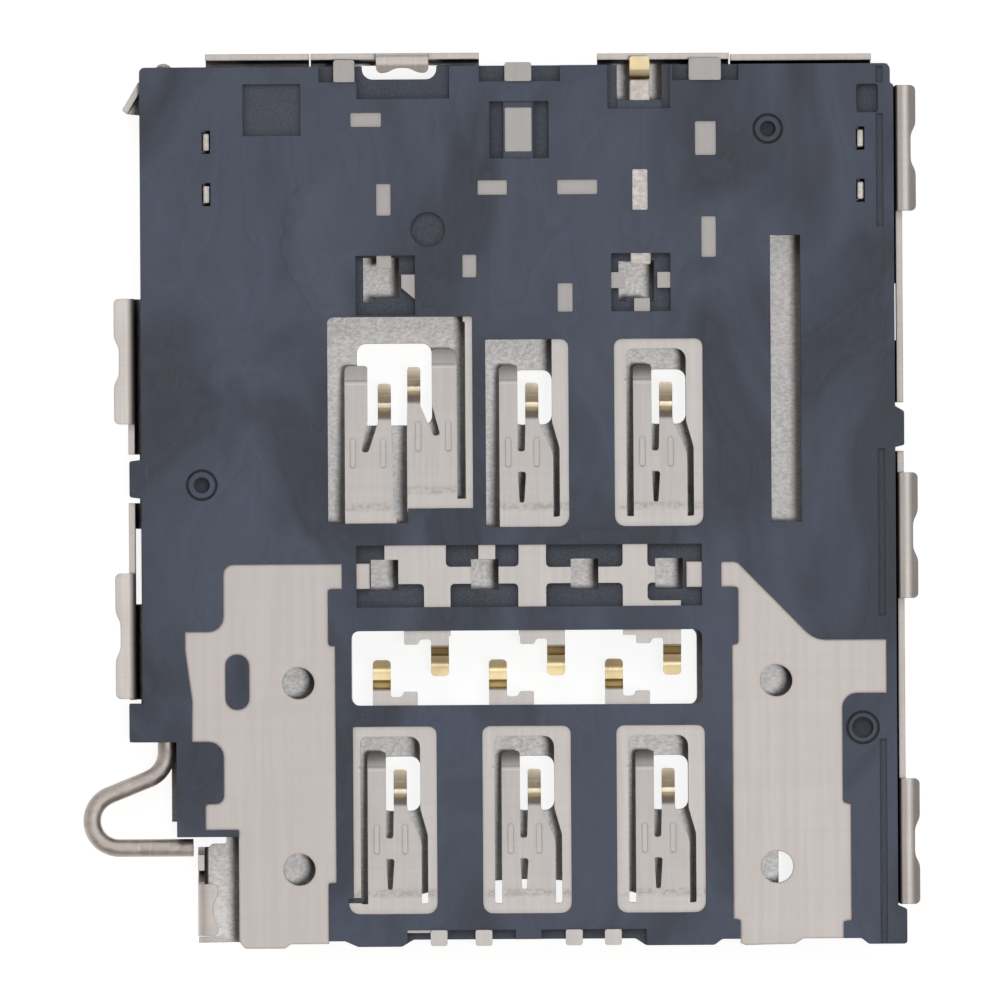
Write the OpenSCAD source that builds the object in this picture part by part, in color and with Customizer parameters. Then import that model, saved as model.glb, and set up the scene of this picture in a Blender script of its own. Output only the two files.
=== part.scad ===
// Card socket for a circuit board, solder side up, with a push rod that turns an eject lever.
// The cover lies on z = 0, the tray goes in from the front (-Y), and all lengths are millimetres.

/* [Moulding] */
// Width of the moulding between its side edges
body_w = 14.28; // [14:0.02:15.2]
// Length of the moulding from its back edge to its front edge
body_l = 16.55; // [16.3:0.05:17.6]
// Height of the whole socket from the cover to the solder plane
total_h = 1.42; // [1.38:0.02:1.7]
// Thickness of the moulded base that holds the contacts
base_t = 0.44; // [0.36:0.02:0.5]
// Height of the solder plane above the moulded face
standoff = 0.04; // [0.02:0.01:0.08]
// Depth of the shallow marks in the moulded face
mark_d = 0.08; // [0.04:0.01:0.1]
// Width of the rail that guides the tray on the right
rail_w = 0.38; // [0.24:0.02:0.5]
// Thickness of the wall across the back
back_wall_t = 0.2; // [0.12:0.02:0.26]

/* [Contacts] */
// Thickness of the stamped contact sheet
lead_t = 0.12; // [0.08:0.01:0.15]
// Thickness of the moulded skin over the contact sheet
skin_t = 0.04; // [0.02:0.01:0.08]
// Distance between neighbouring contact columns
col_pitch = 2.54; // [2.48:0.01:2.64]
// Distance between the back row and the front row of contacts
row_gap = 7.32; // [7.2:0.02:7.5]
// Width of a contact arm at its tip
arm_w = 0.25; // [0.18:0.01:0.28]
// Depth that a contact tip reaches below the contact sheet
tip_drop = 0.58; // [0.4:0.02:0.66]
// Distance between the short fingers that point the same way
finger_pitch = 2.2; // [2.14:0.02:2.26]
// Width of a short finger
finger_w = 0.34; // [0.24:0.02:0.38]
// Height of a stiffening rib pressed into a contact
rib_h = 0.02; // [0.01:0.005:0.03]

/* [Cover shell] */
// Thickness of the shell sheet
shell_t = 0.12; // [0.08:0.01:0.15]
// Gap between the moulding and the left wall of the shell
left_gap = 0.13; // [0.1:0.01:0.2]
// Gap between the moulding and the right wall of the shell
right_gap = 0.04; // [0.03:0.01:0.08]
// Gap between the moulding and the back wall of the shell
back_gap = 0.13; // [0.1:0.01:0.2]
// Height of the shell walls between the feet
wall_h = 1.08; // [0.98:0.02:1.14]
// Bend radius at the middle of the shell sheet
bend_r = 0.14; // [0.1:0.01:0.16]
// Length of one solder foot
foot_l = 2.38; // [2.2:0.02:2.6]
// Length of each lobe of a solder foot
lobe_l = 0.84; // [0.6:0.02:0.9]
// Reach of the flat crest of a solder foot
crest_w = 0.16; // [0.14:0.01:0.2]
// Reach of a solder foot's lobes past its crest
lobe_w = 0.16; // [0.12:0.01:0.2]
// Depth of the valley between the lobes
lobe_d = 0.095; // [0.05:0.005:0.1]

/* [Eject mechanism] */
// Width of the push rod
rod_w = 0.33; // [0.24:0.01:0.36]
// Height of the push rod
rod_h = 0.56; // [0.4:0.02:0.58]
// Travel of the push rod
rod_travel = 1.6; // [1.2:0.1:1.6]
// Radius of the hook at the front of the rod
hook_r = 0.52; // [0.4:0.02:0.54]
// Slant of the rod above its hook, in degrees
hook_slant = 22; // [16:1:28]
// Running clearance beside the rod
rod_clear = 0.055; // [0.04:0.005:0.07]
// Distance from the lever's pivot to the rod
lever_arm = 3.2; // [3:0.05:3.4]
// Distance from the lever's pivot to its tray end
tray_arm = 3.5; // [3:0.1:3.7]
// Thickness of the lever
lever_t = 0.26; // [0.2:0.02:0.3]
// Width of the lever's arms
lever_w = 0.42; // [0.34:0.02:0.5]
// Radius of the pivot's shank
pivot_r = 0.3; // [0.2:0.02:0.34]
// Radial clearance between the pivot and the lever
pivot_clear = 0.03; // [0.02:0.005:0.05]

/* [Hidden] */

eps = 0.01;
$fn = 48;

// Edges of the moulding, which lies a little to the right of the whole socket's middle
body_x = 0.34;
body_y = -0.025;
left = body_x - body_w / 2;
right = left + body_w;
back = body_y + body_l / 2;
front = back - body_l;

// Heights
face_z = total_h - standoff;
base_z = face_z - base_t;
lead_top = face_z - skin_t;
lead_z = lead_top - lead_t;
tail_z = total_h - lead_t;

// Contact field
mid_col = 0.6;
back_root = -0.3;
front_root = back_root - row_gap;
function col_x(i) = mid_col + (i - 1) * col_pitch;

// One contact, measured from its root line and the axis of its tip
ring_left = 0.98;
ring_right = 0.7;
ring_below = 0.19;
ring_above = 3.36;
open_left = 0.75;
open_right = 0.52;
open_neck = 0.38;
open_top = 3.17;
beam_left = 0.62;
beam_right = 0.4;
arm_gap = 0.145;
tip_y = 2.54;
leaf_y = 2.57;
leaf_end = 2.88;
pair_left = -2.195;
pair_right = -1.635;
pair_right_root = 0.01;

// Middle bay with the short fingers
bay_left = mid_col - 3.45;
bay_right = mid_col + 3.2;
bay_back = back_root - 2.15;
bay_front = front_root + 3.76;
function back_finger_x(i) = mid_col + 0.43 + (i - 1) * finger_pitch;
function front_finger_x(i) = mid_col - 0.675 + (i - 1) * finger_pitch;

// Strip where the tie bars between the stampings were punched out
strip_back = back_root - 0.53;
strip_front = back_root - 1.7;
strip_left = mid_col - 3.34;
strip_right = mid_col + 3.2;
punch_x = [for (d = [-2.81, -0.91, 0.98, 2.58]) mid_col + d];
punch_w = 0.52;
punch_y0 = back_root - 1.38;
punch_y1 = back_root - 0.8;
// Dark fields between the tie bars, measured from the middle column and the root line
strip_fields = [
    [-3.4, -2.92, -0.8, -0.38], [-1.645, -1.035, -0.94, -0.38], [-0.71, -0.27, -0.94, -0.38],
    [0.25, 1.7, -0.955, -0.38], [2.17, 3.3, -0.955, -0.38],
    [-3.4, -2.065, -1.85, -1.262], [-1.563, -0.28, -1.85, -1.262],
    [0.25, 1.7, -1.85, -1.262], [2.17, 2.82, -1.6, -1.262]
];

// Shell edges where the walls start to bend up
edge_l = left - left_gap - shell_t / 2 + bend_r;
edge_r = right + right_gap + shell_t / 2 - bend_r;
edge_b = back + back_gap + shell_t / 2 - bend_r;
hook_wall_x = left + 1.08;
hook_edge = hook_wall_x + bend_r;

// Rod and lever
rod_x = left + 0.43;
rod_z0 = shell_t + 0.04;
rod_z1 = rod_z0 + rod_h;
groove_w = rod_w + 2 * rod_clear;
lever_tip_r = 0.17;
lever_z0 = shell_t + 0.05;
lever_z1 = lever_z0 + lever_t;
lever_tip_y = back - 0.08;
turn = rod_travel / lever_arm * 180 / PI;
pivot_x = rod_x + 0.02 + lever_arm * cos(turn / 2);
pivot_y = lever_tip_y - lever_arm * sin(turn / 2);
rod_back = lever_tip_y - lever_tip_r - 0.05;
rail_end = back - 2.85;
block_front = front + 3.77;
column_front = front + 1.97;

// Points of an arc
function arc(c, r, a0, a1, n) =
    [for (i = [0:n]) let (a = a0 + (a1 - a0) * i / n) c + r * [cos(a), sin(a)]];
function unit(v) = v / norm(v);
function radius(p) = len(p) > 2 ? p[2] : 0;
function spot(p) = [p[0], p[1]];
function wrap(a) = a > 180 ? a - 360 : a < -180 ? a + 360 : a;

// One corner of an outline, rounded where its point names a radius
function corner(a, p, b, r) =
    r <= 0 ? [p] :
    let (u = unit(a - p), v = unit(b - p), half = acos(max(-1, min(1, u * v))) / 2)
    let (o = p + unit(u + v) * r / sin(half), s = p + u * r / tan(half) - o, e = p + v * r / tan(half) - o)
    let (a0 = atan2(s.y, s.x), sweep = wrap(atan2(e.y, e.x) - a0))
    arc(o, r, a0, a0 + sweep, max(2, ceil(abs(sweep) / 18)));

function reversed(v) = [for (i = [len(v) - 1:-1:0]) v[i]];

// Twice the area inside a loop of points, less than zero where the loop runs clockwise
function turned(p, i = 0, sum = 0) =
    i == len(p) ? sum : turned(p, i + 1, sum + cross(p[i], p[(i + 1) % len(p)]));
function loop(p) = turned(p) < 0 ? reversed(p) : p;

// A closed outline from points [x, y] or [x, y, radius]
function outline(v) =
    let (n = len(v))
    loop([for (i = [0:n - 1])
        each corner(spot(v[(i + n - 1) % n]), spot(v[i]), spot(v[(i + 1) % n]), radius(v[i]))]);

// An open path with rounded corners
function path(v) =
    let (n = len(v))
    [for (i = [0:n - 1]) each i == 0 || i == n - 1 ? [spot(v[i])]
        : corner(spot(v[i - 1]), spot(v[i]), spot(v[i + 1]), radius(v[i]))];

// The section of a folded sheet of thickness t along a path
function across(a, b) = let (u = unit(b - a)) [-u.y, u.x];
function side_of(p, d) =
    let (n = len(p))
    [for (i = [0:n - 1])
        let (n0 = across(p[max(i - 1, 0)], p[max(i, 1)]), n1 = across(p[min(i, n - 2)], p[min(i + 1, n - 1)]))
        let (m = unit(n0 + n1))
        p[i] + d * m / (m * n0)];
function sheet(v, t) = let (p = path(v)) loop(concat(side_of(p, t / 2), reversed(side_of(p, -t / 2))));

module area(x0, x1, y0, y1, r = 0) {
    polygon(outline([[x0, y0, r], [x1, y0, r], [x1, y1, r], [x0, y1, r]]));
}

module slab(z0, z1) {
    translate([0, 0, z0]) linear_extrude(z1 - z0) children();
}

// Draws a section with its height along Z, from y0 to y1
module run(y0, y1) {
    translate([0, y1, 0]) rotate([90, 0, 0]) linear_extrude(y1 - y0) children();
}

// Draws a section whose first axis is Y, from x0 to x1
module run_across(x0, x1) {
    rotate([0, 0, 90]) run(-x1, -x0) children();
}

// Spring contacts

// Plan of one beam and its two arms, with the slits that make it soft
module beam_plan(left_w, right_w, gap_x, slant) {
    difference() {
        polygon(outline([
            [-left_w, -0.2],
            [right_w, -0.2],
            [right_w, 1.2, 0.4],
            [arm_w / 2, 1.8, 0.4],
            [arm_w / 2, tip_y, 0.05],
            [-arm_w / 2, tip_y, 0.05],
            [-arm_w / 2, tip_y - 0.3],
            [gap_x, tip_y - 0.3],
            [gap_x, leaf_end, 0.06],
            [-left_w, leaf_end, 0.1]
        ]));
        polygon(outline([
            [gap_x, tip_y],
            [gap_x, 1.82],
            [gap_x - slant, 1.24, 0.05],
            [gap_x - slant + 0.13, 1.24, 0.05],
            [-arm_w / 2, 1.8],
            [-arm_w / 2, tip_y]
        ]));
    }
}

// Section of the arm that touches the card, and of the arm with the turned-down leaf
tip_path = [[-0.2, 0], [0.15, 0, 0.5], [1.84, -0.6 * tip_drop, 0.1], [2.06, -tip_drop, 0.08],
    [2.2, -tip_drop, 0.08], [2.34, -tip_drop + 0.11, 0.09], [tip_y + 0.02, -tip_drop + 0.13]];
leaf_path = [[-0.2, 0], [0.15, 0, 0.5], [leaf_y, -0.85 * tip_drop, 0.1],
    [leaf_end + 0.02, -0.85 * tip_drop - 0.15]];

module bent(v, half_w, lift = 0) {
    run_across(-half_w, half_w) translate([0, lead_z + lead_t / 2 + lift]) polygon(sheet(v, lead_t));
}

// A whole beam, placed by its root line and the axis of its tip
module beam(x, y, left_w = beam_left, right_w = beam_right, gap_x = -arm_w / 2 - arm_gap, slant = 0,
    taper = true, ribs = [-0.45, 0.085]) {
    difference() {
        translate([x, y, 0]) {
            intersection() {
                slab(0, total_h) difference() {
                    beam_plan(left_w, right_w, gap_x, slant);
                    area(-arm_w / 2 - eps, right_w + eps, 1.85, tip_y + eps);
                }
                bent(leaf_path, 1);
            }
            intersection() {
                slab(0, total_h) intersection() {
                    beam_plan(left_w, right_w, gap_x, slant);
                    area(-arm_w / 2, right_w, 1.5, tip_y);
                }
                bent(tip_path, 1);
            }
            for (rib_x = ribs) {
                intersection() {
                    slab(0, total_h) area(rib_x - 0.05, rib_x + 0.05, 0.95, 1.5, 0.04);
                    bent(leaf_path, 1, rib_h);
                }
            }
        }
        if (taper) {
            translate([x, y, 0]) slab(0, total_h) polygon(outline([
                [gap_x + 0.03, 0.27, 0.035], [-arm_w / 2 - 0.03, 0.27, 0.035],
                [-arm_w / 2 + 0.01, 0.85, 0.05], [gap_x, 0.85, 0.02]
            ]));
        }
    }
}

// Window and ring of a contact, as plan shapes
module window_plan(x, y) {
    polygon(outline([
        [x - ring_left, y - ring_below, 0.2], [x + ring_right, y - ring_below, 0.2],
        [x + ring_right, y + ring_above, 0.15], [x - ring_left, y + ring_above, 0.15]
    ]));
}

module ring_opening(x, y) {
    polygon(outline([
        [x - open_left, y, 0.04], [x + open_right, y, 0.04],
        [x + open_right, y + 1.3, 0.2], [x + open_neck, y + 1.8, 0.2],
        [x + open_neck, y + open_top, 0.2], [x - open_left, y + open_top, 0.12]
    ]));
}

module ring_plan(x, y) {
    difference() {
        window_plan(x, y);
        ring_opening(x, y);
    }
}

// Short finger, which points along dir (1 to the back, -1 to the front)
finger_path = [[-0.02, 0], [0.27, 0, 0.08], [0.43, -0.36, 0.08], [0.66, -0.42, 0.3], [0.88, -0.36]];

module finger(x, y, dir) {
    half_w = finger_w / 2;
    translate([x, y, 0]) rotate([0, 0, dir < 0 ? 180 : 0]) intersection() {
        slab(0, total_h) area(-half_w, half_w, -0.1, 0.86, 0.08);
        bent(finger_path, half_w);
    }
}

// Bar at the foot of a finger, with the upright beside it
module finger_bar(x, y, dir) {
    half_w = finger_w / 2;
    translate([x, y]) rotate(dir < 0 ? 180 : 0) polygon(outline([
        [-half_w, -0.15], [0.68, -0.15], [0.68, 0.26, 0.03], [0.4, 0.26, 0.05],
        [0.4, 0.16, 0.08], [half_w, 0.16, 0.05], [half_w, 0.28], [-half_w, 0.28]
    ]));
}

// Solder tail that steps up from the contact sheet to the solder plane
module tail(x0, x1, y0, y1) {
    slab(tail_z, total_h) area(x0, x1, y0, y1, 0.05);
}

// Plan of each stamping at the level of the contact sheet

// Places of the solder tails
tail_reach = 0.12;
tail_seat = 0.3;
back_tail_y = back + tail_reach;
back_tail_left = [-3.12, -2.72];
back_tail_middle = [0.12, 0.63];
back_tail_right = [3.61, 4.22];
front_tail_y = front - tail_reach;
stub_w = 0.32;
stub_seat = 0.18;
function stub_x(i) = [col_x(0) + 0.56, col_x(1) - 1.13, col_x(1) + 0.58, col_x(2) - 1.22][i];

module stub_trace(i, y0) {
    area(stub_x(i), stub_x(i) + stub_w, front + stub_seat - 0.1, y0);
}

module stub(i) {
    tail(stub_x(i), stub_x(i) + stub_w, front_tail_y, front + stub_seat);
}

module front_plan(i) {
    difference() {
        ring_plan(col_x(i), front_root);
        // The left side of the first ring is trimmed and cut free at its front end
        if (i == 0) {
            area(col_x(0) - 2, col_x(0) - 0.89, front_root + 0.1, front_root + 4);
            area(col_x(0) - 2, col_x(0) - 0.7, front_root + 0.02, front_root + 0.12);
        }
    }
    if (i == 0) {
        area(stub_x(0) - 0.44, stub_x(0) + 0.1, front + stub_seat - 0.05, front + stub_seat + 0.05);
    }
    fx = front_finger_x(i);
    area(fx - finger_w / 2, fx + 0.68, front_root + ring_above - 0.1, bay_front - 0.1);
    finger_bar(fx, bay_front, 1);
    for (s = i == 0 ? [0] : i == 1 ? [1, 2] : [3]) {
        stub_trace(s, front_root - 0.04);
    }
}

// What is left of the tie bars in the strip between two punched squares
module tie_bars(x0, x1) {
    difference() {
        area(x0, x1, strip_front - 0.05, strip_back + 0.05);
        for (f = strip_fields) {
            area(mid_col + f[0], mid_col + f[1], back_root + f[2], back_root + f[3], 0.08);
        }
        punched();
    }
}

module punched() {
    for (x = punch_x) {
        area(x - punch_w / 2, x + punch_w / 2, punch_y0, punch_y1);
    }
}

module back_right_plan() {
    x = col_x(2);
    ring_plan(x, back_root);
    // Tie bars to the strip and the finger
    area(x - 0.84, x - 0.37, strip_back, back_root - ring_below + 0.05);
    tie_bars(punch_x[2] + punch_w / 2 - 0.02, punch_x[3] - punch_w / 2 + 0.02);
    area(x - 0.84, back_finger_x(2) + finger_w / 2, bay_back - 0.1, strip_front + 0.1);
    finger_bar(back_finger_x(2), bay_back, -1);
    // Trace to the back edge
    area(x + 0.5, x + 0.97, back_root + ring_above - 0.3, back_root + ring_above);
    area(x + 0.69, x + 0.97, back_root + ring_above - 0.3, back - 1.6);
    area(x + 0.58, x + 0.98, back - 1.75, back - 1);
    area(back_tail_right[0], back_tail_right[1], back - 1.05, back - tail_seat + 0.1);
    // Ends of the tie bars at the punched cross
    area(x - 0.59, x - 0.29, back_root + ring_above - 0.1, cross_y - 0.34);
    area(cross_x + 0.42, x + 0.75, cross_y - 0.15, cross_y + 0.15);
}

module back_middle_plan() {
    x = col_x(1);
    // Open ring: only its right side and its front
    intersection() {
        ring_plan(x, back_root);
        polygon(outline([
            [x - beam_left, back_root - 0.3], [x + 1, back_root - 0.3], [x + 1, back_root + 4],
            [x + open_neck, back_root + 4], [x + open_neck, back_root + 1], [x - beam_left, back_root + 0.02]
        ]));
    }
    area(x - 0.27, x + 0.25, strip_back, back_root - ring_below + 0.05);
    tie_bars(punch_x[1] + punch_w / 2 - 0.02, punch_x[2] - punch_w / 2 + 0.02);
    area(x - 0.27, x + 0.25, bay_back - 0.1, strip_front);
    area(x - 0.27, back_finger_x(1) + finger_w / 2, bay_back - 0.1, strip_front - 0.1);
    finger_bar(back_finger_x(1), bay_back, -1);
    // Trace to the back edge
    area(x + 0.5, x + 0.79, back_root + ring_above - 0.3, back - 2.17);
    area(x + 0.5, cross_x - 0.2, cross_y - 0.15, cross_y + 0.15);
    area(x - 0.2, x + 1.27, back - 2.45, back - 2.17);
    area(back_tail_middle[0] + 0.25, back_tail_middle[1], back - 2.45, back - 1.5);
    area(back_tail_middle[0], back_tail_middle[1], back - 1.65, back - tail_seat + 0.1);
}

module card_detect_plan() {
    // Frame strip to the right of the beam
    area(col_x(1) - 1.26, col_x(1) - 1.12, pair_right_root - 0.14, back_root + 3.8);
    area(pair_right - arm_w / 2, col_x(1) - 1.12, pair_right_root - 0.14, pair_right_root + 0.04);
    // Trace to the back, and to the punched holes
    area(col_x(1) - 1.3, col_x(1) - 1.03, back_root + 3.7, back - 2.17);
    area(col_x(1) - 1.3, col_x(1) - 0.44, back - 2.45, back - 2.17);
    polygon(outline([
        [hole_a[1] + 0.04, hole_a[2] + 0.43], [col_x(1) - 1.1, hole_a[2] + 0.43],
        [col_x(1) - 1.1, hole_a[2] + 0.18], [col_x(1) - 2, hole_a[2] + 0.18],
        [col_x(1) - 2.2, hole_a[2] - 0.04], [hole_a[1] + 0.04, hole_a[2] + 0.18]
    ]));
    area(col_x(1) - 1.75, col_x(1) - 1.4, strip_back + 0.05, pair_right_root - 0.1);
    area(col_x(1) - 1.75, col_x(1) - 0.7, strip_back + 0.05, strip_back + 0.22);
    area(col_x(1) - 1.03, col_x(1) - 0.71, punch_y1, strip_back + 0.22);
}

module back_left_plan() {
    x = pair_left;
    area(x - 0.755, x + 0.22, back_root - 0.3, back_root);
    area(x - 0.1, x + 0.55, strip_back, back_root - 0.28);
    tie_bars(punch_x[0], punch_x[1] - punch_w / 2 + 0.02);
    area(x + 0.74, x + 1.23, bay_back - 0.1, strip_front);
    area(back_finger_x(0) - 0.68, back_finger_x(0) + finger_w / 2, bay_back - 0.1, bay_back + 0.2);
    finger_bar(back_finger_x(0), bay_back, -1);
    // Trace round the left of the window to the back edge
    area(x - 1.5, x, back_root - 0.38, back_root - 0.12);
    area(x - 1.5, x - 1.24, back_root - 0.38, back - 3.1);
    area(x - 1.5, x + 0.14, back - 3.36, back - 3.1);
    area(x - 0.13, x + 0.15, min(hole_a[3] - 0.2, back - 3.36), back - 0.88);
    area(back_tail_left[0], x + 0.15, back - 1.15, back - 0.88);
    area(back_tail_left[0], back_tail_left[1], back - 1.15, back - tail_seat + 0.1);
}

// Punched holes of the back field: one plain, one at a cross of tie bars
hole_a = [-2.58, -1.9, back_root + 4.17, back_root + 4.92];
cross_x = col_x(2) - 0.57;
cross_y = back_root + 4.47;

module contact(c) {
    color(c) union() children();
}

metal = "#c4bdb6";

module contact_back_right() {
    contact(metal) {
        slab(lead_z, lead_top) back_right_plan();
        beam(col_x(2), back_root);
        finger(back_finger_x(2), bay_back, -1);
        tail(back_tail_right[0], back_tail_right[1], back - tail_seat, back_tail_y);
    }
}

module contact_back_middle() {
    contact(metal) {
        slab(lead_z, lead_top) back_middle_plan();
        beam(col_x(1), back_root);
        finger(back_finger_x(1), bay_back, -1);
        tail(back_tail_middle[0], back_tail_middle[1], back - tail_seat, back_tail_y - 0.06);
    }
}

module contact_back_left() {
    contact(metal) {
        slab(lead_z, lead_top) back_left_plan();
        beam(pair_left, back_root, 0.755, 0.16, -0.32, 0.12, false, [-0.6, -0.03]);
        finger(back_finger_x(0), bay_back, -1);
        tail(back_tail_left[0], back_tail_left[1], back - tail_seat, back_tail_y);
    }
}

module contact_card_detect() {
    contact(metal) {
        slab(lead_z, lead_top) card_detect_plan();
        translate([pair_right, 0, 0]) mirror([1, 0, 0])
            beam(0, pair_right_root, 0.815, arm_w / 2 + 0.01, -0.34, 0.16, false, [-0.65, -0.08]);
    }
}

module contact_front(i) {
    contact(metal) {
        slab(lead_z, lead_top) front_plan(i);
        beam(col_x(i), front_root);
        finger(front_finger_x(i), bay_front, 1);
        for (s = i == 0 ? [0] : i == 1 ? [1, 2] : [3]) {
            stub(s);
        }
    }
}

// Base plates

plate_hole_r = 0.3;
left_inner = col_x(0) - 1.21;
right_inner = col_x(2) + 1.22;
right_hole_x = right_inner + 0.84;
hole_y = [front + 4.87, front + 1.34];
link_y0 = back_root - 1.35;
link_y1 = back_root - 0.87;
left_slot = [left + 1.57, left + 2.01, front + 4.38, front + 5.42];
left_hole_x = left_slot[1] + 0.5732 * (left_inner - left_slot[1]);

module left_plate_plan() {
    inner = left_inner;
    difference() {
        union() {
            polygon(outline([
                [left + 1.53, back_root - 0.87, 0.2],
                [inner, back_root - 0.87],
                [inner, front - 0.07],
                [left + 2.78, front - 0.07, 0.05],
                [left + 2.66, front - 0.15, 0.06],
                [left + 1.9, front - 0.15, 0.1],
                [left + 1.8, front - 0.02, 0.06],
                [left + 1.8, front + 2.1],
                [left + 1.17, front + 2.1],
                [left + 1.17, front + 2.6, 0.06],
                [left + 1.52, front + 2.6, 0.15],
                [left + 1.52, block_front, 0.28],
                [left + 0.92, block_front],
                [left + 0.93, front + 4.55, 0.6],
                [left + 0.8, front + 5.5, 0.4],
                [left + 0.8, front + 5.86],
                [left + 1.53, front + 5.86, 0.28]
            ]));
            area(inner - 0.05, punch_x[0] - punch_w / 2 - 0.02, link_y0, link_y1);
        }
        area(inner - 0.13, inner + 0.05, back_root - 2.42, link_y0, 0.05);
        area(inner - 0.15, inner + eps, front - 1, front + 1.08, 0.03);
        area(left_slot[0], left_slot[1], left_slot[2], left_slot[3], 0.21);
        for (y = hole_y) {
            translate([left_hole_x, y]) circle(plate_hole_r);
        }
    }
}

module right_plate_plan() {
    inner = right_inner;
    difference() {
        union() {
            polygon(outline([
                [inner, back_root - 0.87],
                [inner + 0.1, back_root - 0.87, 0.15],
                [right - 1.56, front + 5.64, 0.5],
                [right - 0.19, front + 5.64],
                [right - 0.19, front + 4.62],
                [right - 1.03, front + 4.62, 0.27],
                [right - 1.03, front + 2.56, 0.05],
                [right - 0.88, front + 2.52],
                [right - 0.88, front + 0.32],
                [right - 1.03, front + 0.3, 0.03],
                [right - 1.03, front - 0.02],
                [right - 1.8, front - 0.02, 0.06],
                [right - 1.95, front - 0.12, 0.05],
                [inner + 0.22, front - 0.14, 0.1],
                [inner + 0.13, front - 0.1],
                [inner + 0.13, front + 0.34, 0.03],
                [inner, front + 0.36]
            ]));
            area(punch_x[3] + punch_w / 2 + 0.07, inner + 0.05, link_y0, link_y1);
        }
        area(inner - 0.05, inner + 0.12, back_root - 2.44, link_y0, 0.06);
        for (y = hole_y) {
            translate([right_hole_x, y]) circle(plate_hole_r);
        }
    }
}

module left_base_plate() {
    color("#c8c0b9") slab(lead_z, lead_top) left_plate_plan();
}

module right_base_plate() {
    color("#c8c0b9") slab(lead_z, lead_top) right_plate_plan();
}

// Tray switch

switch_x = [col_x(2) - 0.65, col_x(2) - 0.27];
pocket_x = [col_x(2) - 0.89, col_x(2) - 0.04];
pocket_y = back - 0.67;

module switch_pad_plan() {
    area(switch_x[0], switch_x[1], cross_y + 0.3, pocket_y + 0.38, 0.04);
}

module switch_pad() {
    color("#d9cfc0") slab(lead_z, lead_top) switch_pad_plan();
}

// One strip: solder tail, drop through the pocket, and spring under the base
module switch_spring() {
    mid = lead_t / 2;
    drop_y = back - 0.18;
    color("#e3c88f") intersection() {
        run_across(switch_x[0], switch_x[1]) polygon(sheet([
            [back + 0.18, total_h - mid], [drop_y, total_h - mid, 0.1], [drop_y, base_z - mid, 0.1],
            [back - 1.5, base_z - mid, 0.15], [back - 2.1, base_z - 0.36, 0.15], [back - 2.5, base_z - 0.3]
        ], lead_t));
        slab(0, total_h) area(switch_x[0], switch_x[1], back - 3, back + 0.16, 0.06);
    }
}

// Stop pins for the end of the tray, pressed into the slits of the moulding

pin_w = 0.11;
pin_l = 0.32;
slit_w = 0.16;
slit_l = 0.44;
pin_y = [back - 1.42, back - 2.41];
pin_x = [left + 1.26, right - 0.63];

module stop_pins() {
    color("#d0ccc6") for (x = pin_x, y = pin_y) {
        slab(base_z - 0.4, lead_top) area(x - pin_w / 2, x + pin_w / 2, y - pin_l / 2, y + pin_l / 2, 0.03);
    }
}

// Moulding

module mark_ring(x, y, r, dot_r) {
    translate([x, y, face_z - mark_d]) difference() {
        cylinder(r = r, h = 1);
        translate([0, 0, -1]) cylinder(r = r - 0.05, h = 3);
    }
    translate([x, y, face_z - 3 * mark_d]) cylinder(r = dot_r, h = 1);
}

module base_plan() {
    notch = [hole_a[0], hole_a[1] + 0.73];
    polygon(outline([
        [left, back, 0.1],
        [notch[0], back],
        [notch[0], back - 0.25, 0.2],
        [notch[1], back - 0.25, 0.2],
        [notch[1], back],
        [right - 0.06, back, 0.12],
        [right - 0.06, back - 0.37, 0.04],
        [right, back - 0.41, 0.03],
        [right, lug_r + 0.4],
        [right + 0.17, lug_r + 0.3, 0.06],
        [right + 0.17, lug_r - 0.34, 0.04],
        [right, lug_r - 0.38],
        [right, front + 0.6],
        [right + 0.17, front + 0.53, 0.05],
        [right + 0.17, front - 0.13, 0.06],
        [right - 0.56, front - 0.13, 0.08],
        [right - 0.7, front - 0.02, 0.08],
        [col_x(2) + 1, front - 0.02, 0.1],
        [col_x(2) + 0.86, front - 0.13, 0.1],
        [col_x(2) - 0.44, front - 0.13, 0.1],
        [col_x(2) - 0.64, front, 0.1],
        [col_x(0) + 0.24, front, 0.1],
        [col_x(0) + 0.02, front - 0.13, 0.1],
        [col_x(0) - 0.81, front - 0.13, 0.1],
        [col_x(0) - 1.06, front - 0.02, 0.1],
        [left + 1.8, front - 0.02],
        [left + 1.8, column_front],
        [left + 0.63, column_front],
        [left + 0.63, block_front],
        [left - 0.26, block_front, 0.08],
        [left - 0.26, block_front + 0.73, 0.03],
        [left, block_front + 0.73],
        [left, lug_l - 0.37],
        [left - 0.23, lug_l - 0.34, 0.05],
        [left - 0.23, lug_l + 0.34, 0.05],
        [left, lug_l + 0.37]
    ]));
}

// Middles of the side lugs that snap into the shell walls
lug_r = body_y + 1.38;
lug_l = body_y + 0.48;

// Rails and walls between the base and the cover
module rails() {
    inner = left + 0.85;
    slab(shell_t, base_z + eps) {
        difference() {
            union() {
                area(left, inner, block_front, rail_end);
                area(left, rod_x - groove_w / 2, rail_end - eps, back - 0.12);
                area(left - 0.26, left + eps, block_front, block_front + 0.73);
            }
            area(rod_x - groove_w / 2, rod_x + groove_w / 2, column_front - 0.1, back + 1);
        }
        area(left + 0.63, left + 1.1, column_front, block_front + 0.02);
        area(right - rail_w, right, front + 0.6, back - 0.4);
        difference() {
            area(left + 1.95, right - 0.1, back - back_wall_t, back);
            area(hole_a[0] - 0.1, hole_a[1] + 0.83, back - 1, back + 1);
            area(pocket_x[0] - 0.05, pocket_x[1] + 0.05, back - 1, back + 1);
        }
    }
}

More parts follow.
